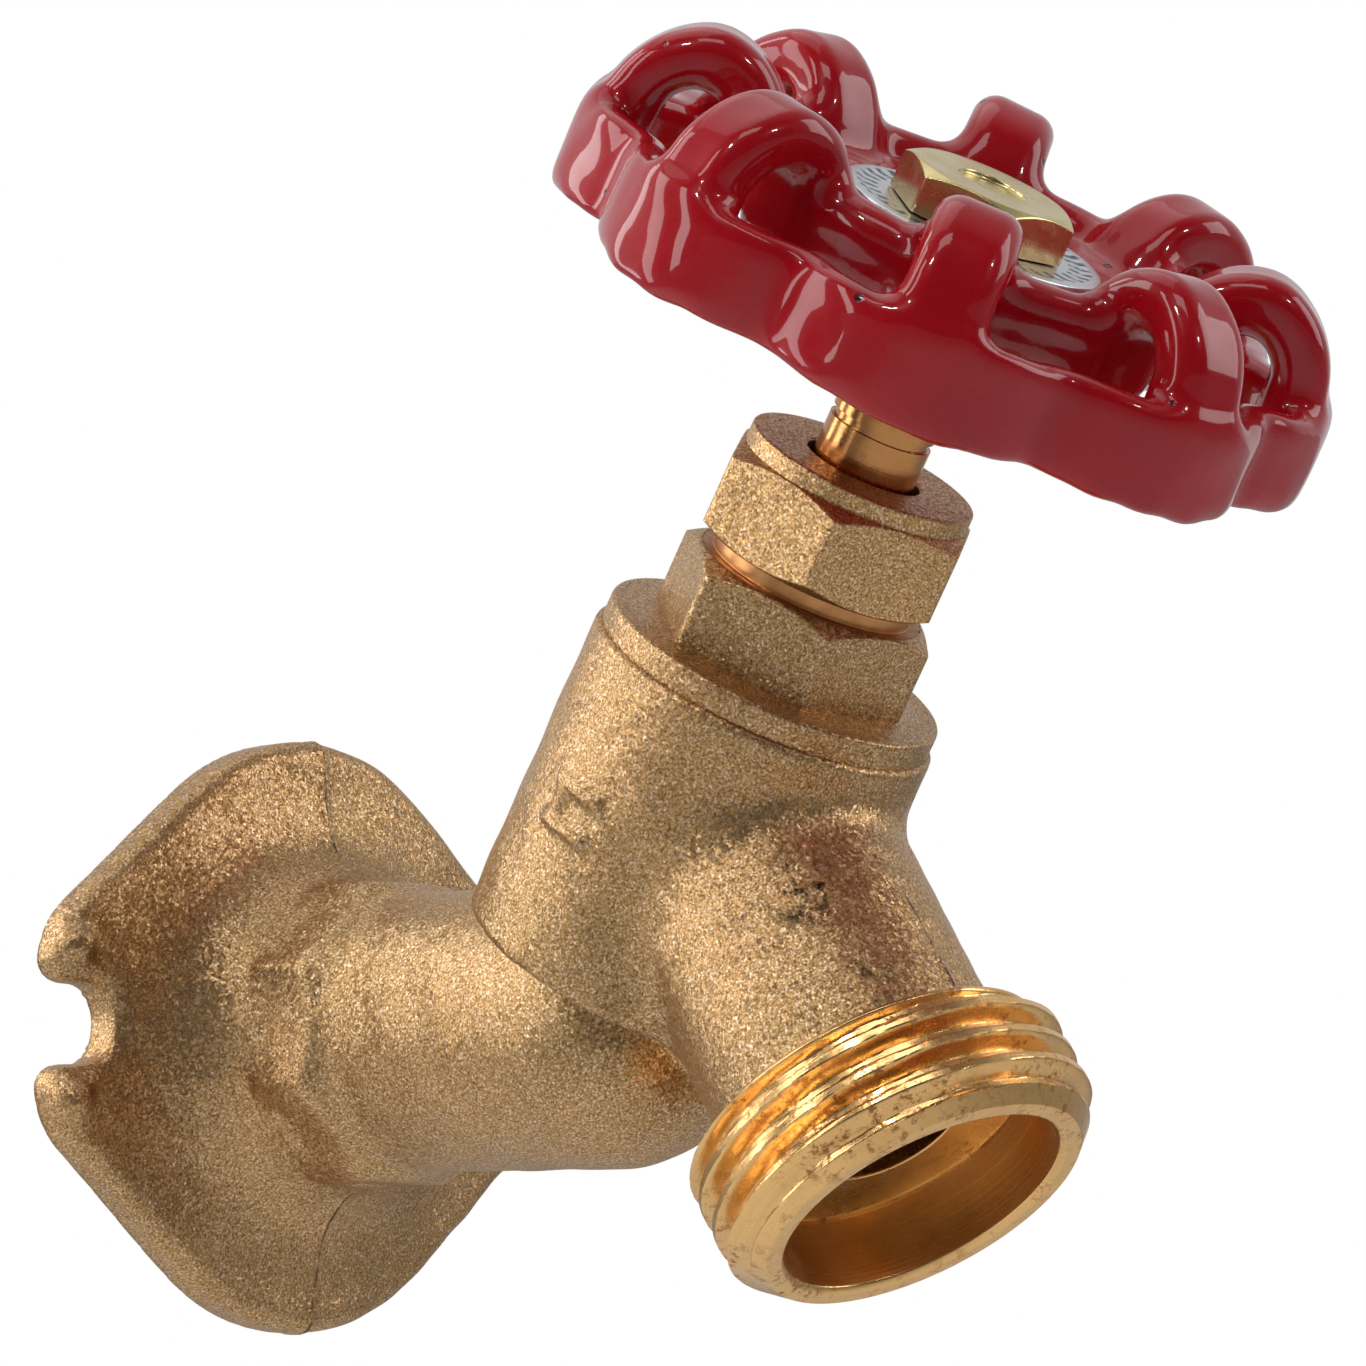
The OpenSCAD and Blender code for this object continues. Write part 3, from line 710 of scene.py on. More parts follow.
def casting_field(size):
    """The whole body casting as one distance field, with fillets where its tubes meet."""
    def field(points):
        x, y, z = points[..., 0], points[..., 1], points[..., 2]
        a, b, s = STEM.local(points)
        u, v, t = SPOUT.local(points)
        flare, boss, pipe = inlet_field(x, y, z, size)
        body = join(flange_field(x, y, z, size), flare, 1.5)
        body = join(body, boss, 0.45)
        body = join(body, pipe, 1.0)
        barrel = meet(np.hypot(a, b) - size["barrel_radius"], size["barrel_low"] - s, 0.6)
        body = join(body, barrel, 0.8)
        top = s - GASKET.high
        spout = np.maximum(np.hypot(u, v) - size["spout_radius"], size["spout_start"] - t)
        body = join(body, spout, 1.7)
        round_way = np.arctan2(b, a) * size["barrel_radius"]
        rail = np.abs(np.abs(s - size["pad_s"]) - 1.45) - 0.42
        rail = np.maximum(rail, np.abs(round_way - size["pad_way"]) - 2.3)
        post = np.maximum(np.abs(round_way - size["pad_way"] + 1.3) - 0.5, np.abs(s - size["pad_s"]) - 1.6)
        pad = meet(join(rail, post, 0.4), np.abs(np.hypot(a, b) - size["barrel_radius"]) - 0.45, 0.35)
        body = join(body, pad, 0.5)
        hand = (np.sin(x * 0.83 + z * 0.41) * np.sin(y * 0.77 - x * 0.29)
                + 0.6 * np.sin(z * 1.31 + y * 0.9) * np.sin(x * 1.13 - z * 0.6))
        seam = np.exp(-(y / 0.35) ** 2) * np.maximum(1.0 - ease(x, 5.0, 9.0), ease(t - size["spout_start"], 16.0, 18.0))
        away = ease(GASKET.high - s, 1.5, 4.0) * ease(x, 0.2, 1.2)
        body = body - (0.05 * hand + 0.14 * seam) * away
        body = np.maximum(body, -x)
        body = meet(body, top, 0.5)
        body = np.maximum(body, t + size["thread_run"] - 0.5)
        return carve(body, waterway_field(x, y, z, (a, b, s), (u, v, t), size), 0.25)
    return field


def casting_sizes():
    p = sizes()
    cup_mm = INLET["dims"]
    spout_cross = 0.0 - SPOUT.origin[2] / SPOUT.along[2]
    return {
        "flange_half_height": -BODY_LOW[2] if False else 21.4,
        "flange_ridge": p.flange_ridge / MM, "ear_thickness": p.ear_thickness / MM,
        "slot_width": p.slot_width / MM, "slot_depth": p.slot_depth / MM,
        "boss_half": p.boss_flats / MM / 2, "boss_start": p.boss_start / MM, "boss_end": p.boss_end / MM,
        "pipe_radius": p.pipe_radius / MM, "pipe_end": STEM.origin[0] + 0.7,
        "barrel_radius": p.barrel_radius / MM, "barrel_low": p.barrel_low / MM,
        "pad_s": 15.9, "pad_way": math.radians(-92.0) * p.barrel_radius / MM,
        "spout_radius": p.spout_radius / MM, "spout_start": spout_cross - 15.0,
        "thread_run": p.thread_run / MM,
        "cup_r": cup_mm["r_mm"], "cup_depth": cup_mm["length_mm"], "passage_r": 6.0,
        "seat_r": 5.0, "seat_s": 10.5, "chamber_r": 9.23, "bonnet_bore": 10.08, "outlet_hole": 4.9}


class HOSEBIB_OT_body_casting(bpy.types.Operator):
    """Cast the body: flange, boss, pipe, barrel and spout in one piece"""
    bl_idname = "hosebib.body_casting"
    bl_label = "Body casting"

    def execute(self, context):
        step = sizes().casting_grid / MM * 1.0
        size = casting_sizes()
        low = (BODY_LOW[0], BODY_LOW[1], -size["flange_half_height"])
        high = (BODY_HIGH[0] - 5.0, BODY_HIGH[1], BODY_HIGH[2] + 0.5)
        vertices, faces = skin(casting_field(size), low, high, step)
        c = tints()
        marks = ((self.on_spout(-139.0, -19.4), 3.4, 1.0),
                 (self.on_spout(-145.0, -11.7), 2.2, 0.7),
                 (self.on_spout(-136.0, -24.8), 3.0, 0.4),
                 ((44.0, -9.9, -1.0), 4.0, 0.35))
        half_h = size["flange_half_height"]
        boss = size["boss_half"]
        seams = (((0.3, 0.0, boss), (8.0, 0.0, half_h + 1.0)),
                 ((0.3, 0.0, -half_h - 1.0), (8.0, 0.0, -boss)),
                 ((58.0, 0.0, -2.0), (76.0, 0.0, 9.0)))
        brass = grainy_brass("cast brass body", c.cast, c.cast_dark, stains=0.7, marks=marks, seams=seams)
        piece = make_mesh("body_casting", vertices, faces, brass)
        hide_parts("valve_body")
        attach(piece, "housing")
        return {"FINISHED"}


    @staticmethod
    def on_spout(turn_degrees, height):
        """A spot on the spout's outside, in millimetres."""
        radius, turn = sizes().spout_radius / MM, math.radians(turn_degrees)
        local = np.array((radius * math.cos(turn), radius * math.sin(turn), height))
        return tuple(SPOUT.world(local))


class HOSEBIB_OT_hose_outlet(bpy.types.Operator):
    """Turn the outlet: hose thread outside, smooth mouth and shoulder inside"""
    bl_idname = "hosebib.hose_outlet"
    bl_label = "Hose outlet"

    def execute(self, context):
        p = sizes()
        pitch, run = p.thread_pitch / MM, p.thread_run / MM
        crest = mount_named("hose_thread")["dims"]["r_mm"]
        root = crest - 1.25
        mouth, depth = MOUTH["dims"]["r_mm"], MOUTH["dims"]["length_mm"]
        hole = 4.9
        outside = [(crest, h) for h in np.arange(-run + 0.12, -0.02, 0.07)]
        path = ([(hole, -run), (hole + 2.5, -run), (crest, -run + 0.02)] + outside
                + [(crest, -0.02), (root - 0.80, 0.0), (root - 0.86, 0.0), (mouth + 0.5, 0.0), (mouth + 0.44, 0.0)]
                + [(mouth + 0.40, -0.01), (mouth + 0.05, -0.32), (mouth + 0.01, -0.4), (mouth, -0.45)]
                + climb(mouth, -0.6, -depth + 0.25, 4)
                + rounded_path([(mouth, -depth, 0.2), (hole, -depth, 0.15), (hole, -depth - 1.0, 0.0)], 0.2)[3:-1])

        def thread(radius, height, angle):
            phase = (height + 1.50 - pitch * angle / (2 * math.pi)) / pitch
            off = np.abs(phase - np.round(phase)) * pitch
            worn = 0.05 * np.sin(angle * 9.0 + height * 3.0) * np.sin(angle * 4.0 - height * 2.0)
            tooth = np.clip((0.90 + worn - off) / 0.66, 0.0, 1.0)
            tooth = 0.55 * tooth + 0.45 * tooth * tooth * (3.0 - 2.0 * tooth)
            tooth = tooth * ease(height, -run + 0.2, -run + 1.3)
            ridge = root + (crest - root) * tooth
            end = root - 0.75 - (height + 0.02) * 0.95
            neck = root - 1.4 + 4.0 * ease(height, -run - 0.05, -run + 1.1)
            skin_r = softer_min(softer_min(ridge, end, 0.06), neck, 0.2)
            return np.where(radius > root - 0.3, skin_r, radius)

        c = tints()
        brass = turned_brass("turned brass outlet", c.turned, SPOUT, line_mm=0.16, depth_mm=0.008,
                             rough=0.21, scuffs=0.9)
        dull = tuple(v * w for v, w in zip(c.turned, (0.86, 0.80, 0.76)))
        bore = turned_brass("turned brass mouth", dull, SPOUT, line_mm=0.18, depth_mm=0.02, rough=0.34)
        zone = (bore, lambda radius, height: (radius < mouth + 0.02) & (height < -0.4) & (height > 0.3 - depth))
        piece = turned("hose_thread_end", SPOUT, path, brass, shape=thread, segments=288, zone=zone)
        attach(piece, "housing")
        return {"FINISHED"}


class HOSEBIB_OT_inlet_cup(bpy.types.Operator):
    """Turn the lining of the solder cup in the back of the flange"""
    bl_idname = "hosebib.inlet_cup"
    bl_label = "Solder cup"

    def execute(self, context):
        cup, depth = INLET["dims"]["r_mm"], INLET["dims"]["length_mm"]
        bore, back, start = cup - 0.02, cup + 0.35, 0.35
        path = ([(back, start), (bore + 0.06, start), (bore + 0.02, start + 0.03), (bore, start + 0.09)]
                + climb(bore, 1.2, depth - 0.3, 4) + [(bore, depth), (back, depth)])
        c = tints()
        brass = turned_brass("turned brass cup", c.turned, PIPE, line_mm=0.2, depth_mm=0.01, rough=0.25)
        piece = turned("solder_cup", PIPE, path, brass, segments=160)
        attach(piece, "housing")
        return {"FINISHED"}


# ---------------------------------------------------------------- bonnet, nut and stem

class HOSEBIB_OT_bonnet(bpy.types.Operator):
    """Make the bonnet: threaded skirt, round rim, hexagon and neck"""
    bl_idname = "hosebib.bonnet"
    bl_label = "Bonnet"

    def execute(self, context):
        flat = sizes().nut_flats / MM / 2
        rim_low, rim_high = GASKET.high + 0.02, GASKET.high + 1.88
        hex_high = rim_high + 5.9
        skirt, rim, neck = BONNET.reach(BONNET.low - 0.1, BONNET.low + 0.1), BONNET.outer, 7.2
        packing, guide, thread_bore, recess = 5.61, SPINDLE_R + 0.05, SPINDLE_R + 1.55, 7.6
        corner = flat / math.cos(math.radians(30)) + 0.2
        path = rounded_path([(skirt, BONNET.low), (skirt, rim_low), (rim, rim_low, 0.18)], 0.1)
        path += rounded_path([(rim, rim_low + 0.1), (rim, rim_high, 0.35), (corner + 0.25, rim_high - 0.05)], 0.1)[6:-6]
        path += [(corner + 0.12, rim_high + 0.03), (corner, rim_high + 0.16)]
        path += climb(corner, rim_high + 0.4, hex_high - 1.0, 10)
        path += climb(corner, hex_high - 0.94, hex_high, 20)
        path += rounded_path([(flat - 0.2, hex_high, 0.12), (neck, hex_high, 0.1), (neck, BONNET.high)], 0.1)[3:]
        path += [(packing, BONNET.high), (packing, 35.85), (guide, 35.85), (guide, 34.95),
                 (thread_bore, 34.95), (thread_bore, 23.95), (recess, 23.95), (recess, BONNET.low)]
        shape = hex_shape(flat, -2.9, rim_high + 0.05, hex_high, cone_high=(hex_high, flat - 0.15, -1))
        c = tints()
        brass = grainy_brass("cast brass bonnet", c.cast, c.cast_dark, tilt=0.30, stains=0.8)
        # deep is a darker, copper-brown turned brass for the neck and the hexagon's top in the gap under the nut:
        # partly the neck's own tone, partly painted shade.
        deep = tuple(v * w for v, w in zip(c.turned, (0.66, 0.52, 0.50)))
        smooth = turned_brass("turned brass neck in painted shade", deep, STEM, line_mm=0.2, rough=0.3, tarnish=0.8)
        zone = (smooth, lambda radius, height: (height > hex_high - 0.3) & (radius < flat - 0.4))
        piece = turned("bonnet_hexagon", STEM, path, brass, shape=shape, segments=360, zone=zone)
        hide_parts("bonnet")
        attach(piece, "housing")
        return {"FINISHED"}


class HOSEBIB_OT_packing_nut(bpy.types.Operator):
    """Make the packing nut: hexagon turned off at both ends under a round collar"""
    bl_idname = "hosebib.packing_nut"
    bl_label = "Packing nut"

    def execute(self, context):
        flat = sizes().nut_flats / MM / 2
        low, collar_top = NUT.low, NUT.high
        hex_high = collar_top - 1.3
        bore, hole, floor = 7.25, NUT.inner, 41.5
        collar = flat - 0.22
        corner = flat / math.cos(math.radians(30)) + 0.2
        path = [(bore, low), (flat - 0.15, low)]
        path += climb(corner, low, low + 0.94, 20) + climb(corner, low + 1.2, hex_high - 1.1, 10)
        path += climb(corner, hex_high - 0.94, hex_high, 20)
        path += rounded_path([(collar + 0.05, hex_high - 0.02), (collar, hex_high + 0.1),
                              (collar, collar_top, 0.22), (hole, collar_top, 0.2),
                              (hole, floor), (bore, floor)], 0.05)[3:-3]
        shape = hex_shape(flat, -19.7, low, hex_high, (low, flat - 0.12, 1), (hex_high, flat - 0.12, -1))
        c = tints()
        light = tuple(min(1.0, v * 1.2) for v in c.cast)
        brass = grainy_brass("cast brass nut", light, c.cast_dark, tilt=0.30, stains=0.4)
        # deep darkens the nut's turned underside, which faces the bonnet across the gap: partly its own tone, partly
        # painted shade.
        deep = tuple(v * w for v, w in zip(c.turned, (0.66, 0.52, 0.50)))
        smooth = turned_brass("turned brass nut end in painted shade", deep, STEM, line_mm=0.2, rough=0.3, tarnish=0.8)
        zone = (smooth, lambda radius, height: (height < low + 0.3) & (radius < flat - 0.05))
        piece = turned("packing_nut_hexagon", STEM, path, brass, shape=shape, segments=360, zone=zone)
        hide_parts("packing_nut")
        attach(piece, "housing")
        return {"FINISHED"}


SPINDLE_R = 3.66


class HOSEBIB_OT_stem(bpy.types.Operator):
    """Turn the stem: washer cup, thread land, bright shank with a groove, squared top"""
    bl_idname = "hosebib.stem"
    bl_label = "Stem"

    def execute(self, context):
        groove = NUT.high + 2.7
        cup_low, cup_high = SPINDLE.low, SPINDLE.low + 4.6
        cup = SPINDLE.reach(cup_low - 0.1, cup_high + 0.1)
        land_high, land_low = 28.48, 19.48
        land, r = SPINDLE_R + 1.5, SPINDLE_R
        square_low = WHEEL_HUB_LOW - 0.02
        path = rounded_path([(cup, cup_low), (cup, cup_high), (r, cup_high), (r, land_low), (land, land_low),
                             (land, land_high), (r, land_high)], 0.2)[3:]
        path += climb(r, land_high + 0.5, groove - 0.4, 4)
        path += rounded_path([(r, groove, 0.04), (r - 0.25, groove + 0.03, 0.05),
                              (r - 0.25, groove + 0.67, 0.05), (r, groove + 0.7, 0.04)], 0.04)[1:-1]
        path += climb(r, groove + 1.1, square_low, 6)
        path += climb(r, square_low + 0.05, SPINDLE.high - 0.1, 6)
        path += [(3.0, SPINDLE.high), (1.65, SPINDLE.high), (1.65, 52.0), (0.02, 52.0), (0.02, 16.0),
                 (1.65, 16.0), (1.65, cup_low + 1.2), (cup - 0.55, cup_low + 1.2), (cup - 0.55, cup_low)]

        def squared(radius, height, angle):
            limit = np.repeat(flats(angle[:1], r * 0.683, 4, 0.0), len(radius), axis=0)
            return np.where((height > square_low + 0.02) & (radius > 3.2), np.minimum(radius, limit), radius)

        c = tints()
        # deep darkens the stem's brass partly for its own brown tone and partly as painted shade, standing in for the
        # handwheel's shadow and dark reflection on the shank.
        deep = tuple(v * w for v, w in zip(c.turned, (0.66, 0.50, 0.44)))
        brass = turned_brass("turned brass stem with painted shade", deep, STEM, line_mm=0.14, rough=0.14, scuffs=0.4)
        piece = turned("stem_spindle", STEM, path, brass, shape=squared, segments=192)
        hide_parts("stem")
        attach(piece, "spindle")
        return {"FINISHED"}


# ---------------------------------------------------------------- handwheel and what it carries

WHEEL_HUB_LOW = WHEEL.low + 1.6
LOBE_TURN = math.radians(-3.3)


def wheel_field(size):
    """Lobed band, arches, dish and hub, flowed together as dipped enamel does."""
    low = WHEEL.low
    radius = WHEEL.outer - 0.1
    pitch = 2 * math.pi / size["lobes"]
    lobe_r, band_t, band_h = size["lobe_radius"], size["band_thickness"], size["band_height"]
    lobe_c = radius - lobe_r
    arch_r = size["arch_span"] / 2
    arch_c, arch_s = radius - arch_r - size["arch_inset"], low + band_h + 0.5
    half_t, half_w = size["arch_thickness"] / 2, size["arch_width"] / 2
    middle = arch_r - half_t
    dish_top = DISC.low
    dish_r = arch_c - arch_r + size["arch_inset"] + size["arch_thickness"] * 0.75
    dish_low = dish_top - 3.6

    def field(points):
        a, b, s = points[..., 0], points[..., 1], points[..., 2]
        rho, angle = np.hypot(a, b), np.arctan2(b, a) - LOBE_TURN
        fold = np.abs((angle + pitch / 2) % pitch - pitch / 2)
        ahead, aside = rho * np.cos(fold), rho * np.sin(fold)
        next_ahead, next_aside = rho * np.cos(pitch - fold), rho * np.sin(pitch - fold)
        own = np.hypot(ahead - lobe_c, aside)
        beside = np.hypot(next_ahead - lobe_c, next_aside)
        outer = join(own - lobe_r, beside - lobe_r, 1.5)
        inner = join(join(own, beside, 2.5) - (lobe_r - band_t), rho - lobe_c - 1.0, 2.5)
        band = meet(carve(outer, inner, 1.4), np.abs(s - low - band_h / 2) - band_h / 2, 1.7)
        lean = 0.7 * ease(s, low + 2.0, arch_s + arch_r) * ease(ahead, arch_c - 2.0, arch_c + 3.0)
        dx, ds = ahead - arch_c + lean, s - arch_s
        bent = np.where(ds > 0, np.hypot(dx, ds) - middle, np.abs(dx) - middle)
        edge = 1.75
        qx, qy = np.abs(bent) - (half_t - edge), aside - (half_w - edge)
        arch = np.hypot(np.maximum(qx, 0), np.maximum(qy, 0)) + np.minimum(np.maximum(qx, qy), 0) - edge
        foot = np.where(dx > 0, low + 0.4, dish_low - 0.3)
        arch = meet(arch, foot - s, 1.5)
        lip = np.hypot(rho - (dish_r - 1.35), s - dish_top - 0.25) - 1.5
        under = (WHEEL_HUB_LOW + 0.3 + (rho - 7.2) * 0.28 - s) / 1.04
        plate = meet(meet(s - dish_top, under, 1.0), rho - dish_r + 0.4, 1.8)
        hub = meet(meet(rho - 6.6, WHEEL_HUB_LOW - s, 1.2), s - dish_top, 0.4)
        dish = join(join(plate, hub, 1.6), lip, 1.2)
        wheel = join(join(band, arch, 1.7), dish, 1.9)
        wheel = meet(wheel, outer, 0.7)
        lumps = (np.sin(a * 0.41 + s * 0.3) * np.sin(b * 0.47 - s * 0.25)
                 + 0.4 * np.sin(a * 0.9 - b * 0.7) * np.sin(s * 0.8 + b * 0.4))
        runs = np.sin(angle * 31.0 + 2.0 * np.sin(angle * 3.0)) * np.sin(angle * 11.0 + 1.0)
        wheel = wheel - 0.10 * lumps - 0.05 * runs * ease(low + 1.6 - s, 0.0, 1.6)
        seat = np.maximum(rho - DISC.outer - 0.2, dish_top - s)
        wheel = np.maximum(wheel, -seat)
        hole = np.maximum(np.abs(a), np.abs(b)) - SPINDLE_R * 0.683 - 0.06
        return np.maximum(wheel, -hole)
    return field


class HOSEBIB_OT_handwheel(bpy.types.Operator):
    """Cast the lobed handwheel and dip it in red enamel"""
    bl_idname = "hosebib.handwheel"
    bl_label = "Handwheel"

    def execute(self, context):
        p = sizes()
        step = p.wheel_grid / MM * 1.0
        names = ("arch_width", "arch_thickness", "arch_span", "arch_inset", "band_height", "band_thickness", "lobe_radius")
        size = {k: getattr(p, k) / MM for k in names}
        size["lobes"] = p.lobes
        reach = WHEEL.outer + 0.4
        vertices, faces = skin(wheel_field(size), (-reach, -reach, WHEEL.low - 0.5),
                               (reach, reach, WHEEL.high + 0.5), step)
        red = dipped_enamel("red dipped enamel", tints().enamel)
        piece = make_mesh("handwheel_casting", STEM.world(vertices), faces, red)
        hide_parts("handwheel")
        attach(piece, "spindle")
        return {"FINISHED"}


class HOSEBIB_OT_id_plate(bpy.types.Operator):
    """Stamp the thin disc that lies on the handwheel"""
    bl_idname = "hosebib.id_plate"
    bl_label = "Identification disc"

    def execute(self, context):
        low, high, out, hole = DISC.low, DISC.high, DISC.outer, DISC.inner
        path = rounded_path([(hole, low), (out, low, 0.1), (out, high - 0.05, 0.2), (out - 0.9, high, 0.3),
                             (out - 1.3, high - 0.12, 0.3), (hole + 2.0, high - 0.12, 0.3), (hole, high, 0.1)],
                            0.08)
        metal = printed_disc("printed aluminium", tints().disc, STEM, high)
        piece = turned("id_disc", STEM, path, metal, segments=192)
        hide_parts("id_plate")
        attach(piece, "spindle")
        return {"FINISHED"}


class HOSEBIB_OT_handle_screw(bpy.types.Operator):
    """Turn the hexagon head screw that holds the handwheel"""
    bl_idname = "hosebib.handle_screw"
    bl_label = "Handle screw"

    def execute(self, context):
        flat = sizes().screw_flats / MM / 2
        low, high = DISC.high, HEAD.high
        shank, dimple = 1.6, 2.45
        corner = flat / math.cos(math.radians(30)) + 0.2
        path = [(0.02, HEAD.low), (shank - 0.2, HEAD.low), (shank, HEAD.low + 0.3), (shank, low - 0.02),
                (flat - 0.1, low - 0.02)]
        path += climb(corner, low, high - 0.75, 8) + climb(corner, high - 0.7, high, 18)
        path += rounded_path([(flat - 0.3, high, 0.1), (dimple, high, 0.1), (dimple - 0.12, high - 0.32, 0.15),
                              (0.02, high - 0.45, 0.0)], 0.1)[3:]
        shape = hex_shape(flat, 0.0, low, high, cone_high=(high, flat - 0.1, -1))
        brass = turned_brass("pale brass screw", tints().pale, STEM, line_mm=0.12, depth_mm=0.006,
                             rough=0.24, tarnish=0.35)
        piece = turned("hexagon_screw", STEM, path, brass, shape=shape, segments=288)
        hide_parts("handle_screw")
        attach(piece, "spindle")
        return {"FINISHED"}


class HOSEBIB_OT_inner_pieces(bpy.types.Operator):
    """Finish the pieces inside the barrel: seals, follower and washer screw"""
    bl_idname = "hosebib.inner_pieces"
    bl_label = "Inner pieces"

    def execute(self, context):
        finishes = {
            "bonnet_gasket": soft_seal("pressed fibre", (0.09, 0.06, 0.05), STEM, 0.7),
            "packing_ring": soft_seal("graphite packing", (0.03, 0.03, 0.032), STEM, 0.45),
            "seat_washer": soft_seal("black rubber", (0.015, 0.015, 0.016), STEM, 0.5),
            "gland_washer": turned_brass("turned brass follower", tints().turned, STEM),
            "washer_screw": turned_brass("turned brass washer screw", tints().turned, STEM)}
        for node, material in finishes.items():
            mesh = frame["nodes"][node].data
            mesh.materials.clear()
            mesh.materials.append(material)
        return {"FINISHED"}


# ---------------------------------------------------------------- stage

class HOSEBIB_OT_stage(bpy.types.Operator):
    """Set the pale floor, the studio light and the camera"""
    bl_idname = "hosebib.stage"
    bl_label = "Stage"

    def execute(self, context):
        scene = context.scene
        self.camera(scene)
        self.floor(scene)
        self.lights(scene)
        self.surroundings(scene)
        scene.view_settings.view_transform = "Standard"
        return {"FINISHED"}

    @staticmethod
    def camera(scene):
        lens = bpy.data.cameras.new("camera")
        lens.sensor_width, lens.lens = 36.0, 158.53
        lens.clip_start, lens.clip_end = 0.01, 20.0
        camera = bpy.data.objects.new("camera", lens)
        right, up = Vector((0.7248, 0.6889, 0.0125)), Vector((0.0650, -0.0865, 0.9942))
        back = right.cross(up).normalized()
        turn = Matrix((right, up, back)).transposed()
        camera.matrix_world = Matrix.Translation((0.3241, -0.2981, -0.0211)) @ turn.to_4x4()
        scene.collection.objects.link(camera)
        scene.camera = camera

    @staticmethod
    def floor(scene):
        mesh = bpy.data.meshes.new("floor")
        half, depth = 6.0, -0.26
        mesh.from_pydata([(-half, -half, depth), (half, -half, depth), (half, half, depth),
                          (-half, half, depth)], [], [(0, 1, 2, 3)])
        f = Finish("pale floor")
        f.feed(f.shader.inputs["Base Color"], f.mix(f.noise(300.0), (0.80, 0.80, 0.80), (0.77, 0.77, 0.77)))
        f.shader.inputs["Roughness"].default_value = 0.8
        mesh.materials.append(f.material)
        floor = bpy.data.objects.new("floor", mesh)
        scene.collection.objects.link(floor)
        floor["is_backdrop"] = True

    @staticmethod
    def lights(scene):
        low, high = (Vector(c) for c in CAD_BOX)
        aim = (low + high) / 2
        right, up, back = scene.camera.matrix_world.to_3x3().transposed()
        soft_boxes = (
            # name, metres to the camera's right, up and toward it, width, height, watts
            ("left back strip", -0.60, 0.26, -0.28, 0.13, 0.80, 1.25),
            ("left strip", -0.62, 0.24, 0.02, 0.16, 0.80, 1.5),
            ("left front strip", -0.54, 0.30, 0.34, 0.10, 0.60, 0.9),
            ("right wall", 0.62, 0.27, 0.00, 0.30, 0.45, 1.15),
            ("high front", 0.02, 0.62, 0.38, 0.34, 0.16, 0.50),
            ("spark left", -0.22, 0.50, 0.44, 0.045, 0.045, 0.50),
            ("spark right", 0.40, 0.34, 0.36, 0.040, 0.040, 0.26),
            ("top", -0.10, 0.70, -0.14, 0.60, 0.50, 0.55))
        for name, aside, above, ahead, width, height, watts in soft_boxes:
            data = bpy.data.lights.new(name, "AREA")
            data.shape, data.size, data.size_y, data.energy = "RECTANGLE", width, height, watts
            lamp = bpy.data.objects.new(name, data)
            offset = right * aside + up * above + back * ahead
            lamp.location = aim + offset
            lamp.visible_camera = False
            lamp.rotation_mode = "QUATERNION"
            lamp.rotation_quaternion = (-offset).to_track_quat("-Z", "Y")
            scene.collection.objects.link(lamp)

    @staticmethod
    def surroundings(scene):
        """A bright backdrop behind the object, a dim room in front, plain white to the camera."""
        world = bpy.data.worlds.new("studio")
        scene.world = world
        world.use_nodes = True
        tree = world.node_tree
        background = tree.nodes["Background"]
        behind = scene.camera.matrix_world.to_3x3() @ Vector((0.0, 0.25, -0.97))
        place = tree.nodes.new("ShaderNodeTexCoord")
        toward = tree.nodes.new("ShaderNodeVectorMath")
        toward.operation = "DOT_PRODUCT"
        tree.links.new(place.outputs["Generated"], toward.inputs[0])
        toward.inputs[1].default_value = behind
        glow = tree.nodes.new("ShaderNodeMapRange")
        glow.inputs["From Min"].default_value = -0.1
        glow.inputs["From Max"].default_value = 0.75
        glow.inputs["To Min"].default_value = 0.05
        glow.inputs["To Max"].default_value = 0.62
        tree.links.new(toward.outputs["Value"], glow.inputs["Value"])
        tree.links.new(glow.outputs["Result"], background.inputs["Strength"])
        background.inputs["Color"].default_value = (0.97, 0.98, 1.0, 1.0)
        white = tree.nodes.new("ShaderNodeBackground")
        white.inputs["Color"].default_value = (1.0, 1.0, 1.0, 1.0)
        rays = tree.nodes.new("ShaderNodeLightPath")
        choose = tree.nodes.new("ShaderNodeMixShader")
        tree.links.new(rays.outputs["Is Camera Ray"], choose.inputs["Fac"])
        tree.links.new(background.outputs["Background"], choose.inputs[1])
        tree.links.new(white.outputs["Background"], choose.inputs[2])
        tree.links.new(choose.outputs["Shader"], tree.nodes["World Output"].inputs["Surface"])


# ---------------------------------------------------------------- panel and registration

BUILDERS = (
    HOSEBIB_OT_body_casting, HOSEBIB_OT_hose_outlet, HOSEBIB_OT_inlet_cup, HOSEBIB_OT_bonnet,
    HOSEBIB_OT_packing_nut, HOSEBIB_OT_stem, HOSEBIB_OT_handwheel, HOSEBIB_OT_id_plate,
    HOSEBIB_OT_handle_screw, HOSEBIB_OT_inner_pieces, HOSEBIB_OT_stage)


class HOSEBIB_PT_sidebar(bpy.types.Panel):
    """Sizes, colours and the pieces of the hose bib"""
    bl_idname = "HOSEBIB_PT_sidebar"
    bl_label = "Hose Bib"
    bl_space_type = "VIEW_3D"
    bl_region_type = "UI"
    bl_category = "Hose Bib"

    def draw(self, context):
        for group in (context.scene.hose_bib_sizes, context.scene.hose_bib_colours):
            column = self.layout.column(align=True)
            for name in group.__annotations__:
                column.prop(group, name)
        for builder in BUILDERS:
            self.layout.operator(builder.bl_idname)


CLASSES = (HoseBibSizes, HoseBibColours, *BUILDERS, HOSEBIB_PT_sidebar)


def register():
    for each in CLASSES:
        bpy.utils.register_class(each)
    bpy.types.Scene.hose_bib_sizes = PointerProperty(type=HoseBibSizes)
    bpy.types.Scene.hose_bib_colours = PointerProperty(type=HoseBibColours)


def unregister():
    del bpy.types.Scene.hose_bib_colours
    del bpy.types.Scene.hose_bib_sizes
    for each in reversed(CLASSES):
        bpy.utils.unregister_class(each)


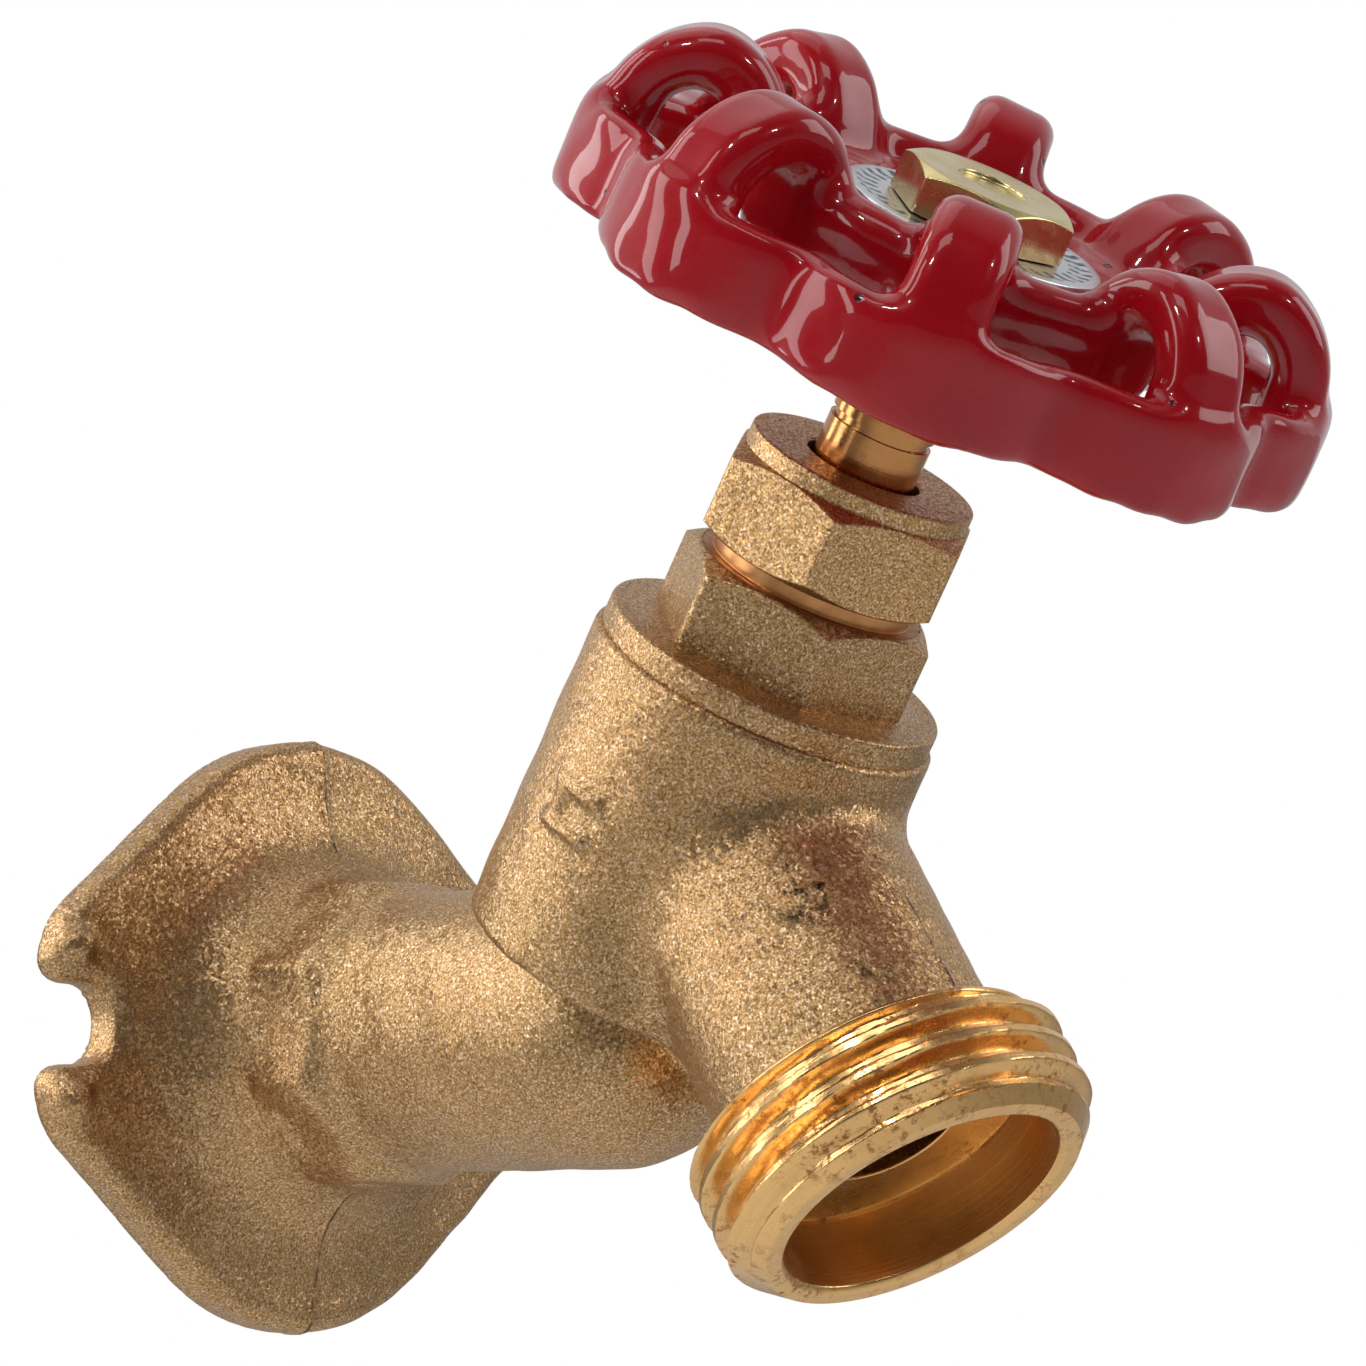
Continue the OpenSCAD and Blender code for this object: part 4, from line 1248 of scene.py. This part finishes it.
def main():
    register()
    for builder in BUILDERS:
        group, action = builder.bl_idname.split(".")
        getattr(getattr(bpy.ops, group), action)()
    boxes = {"cad": CAD_BOX, "visual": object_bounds()}
    {k: [list(corner) for corner in v] for k, v in boxes.items()}


if __name__ == "__main__":
    main()
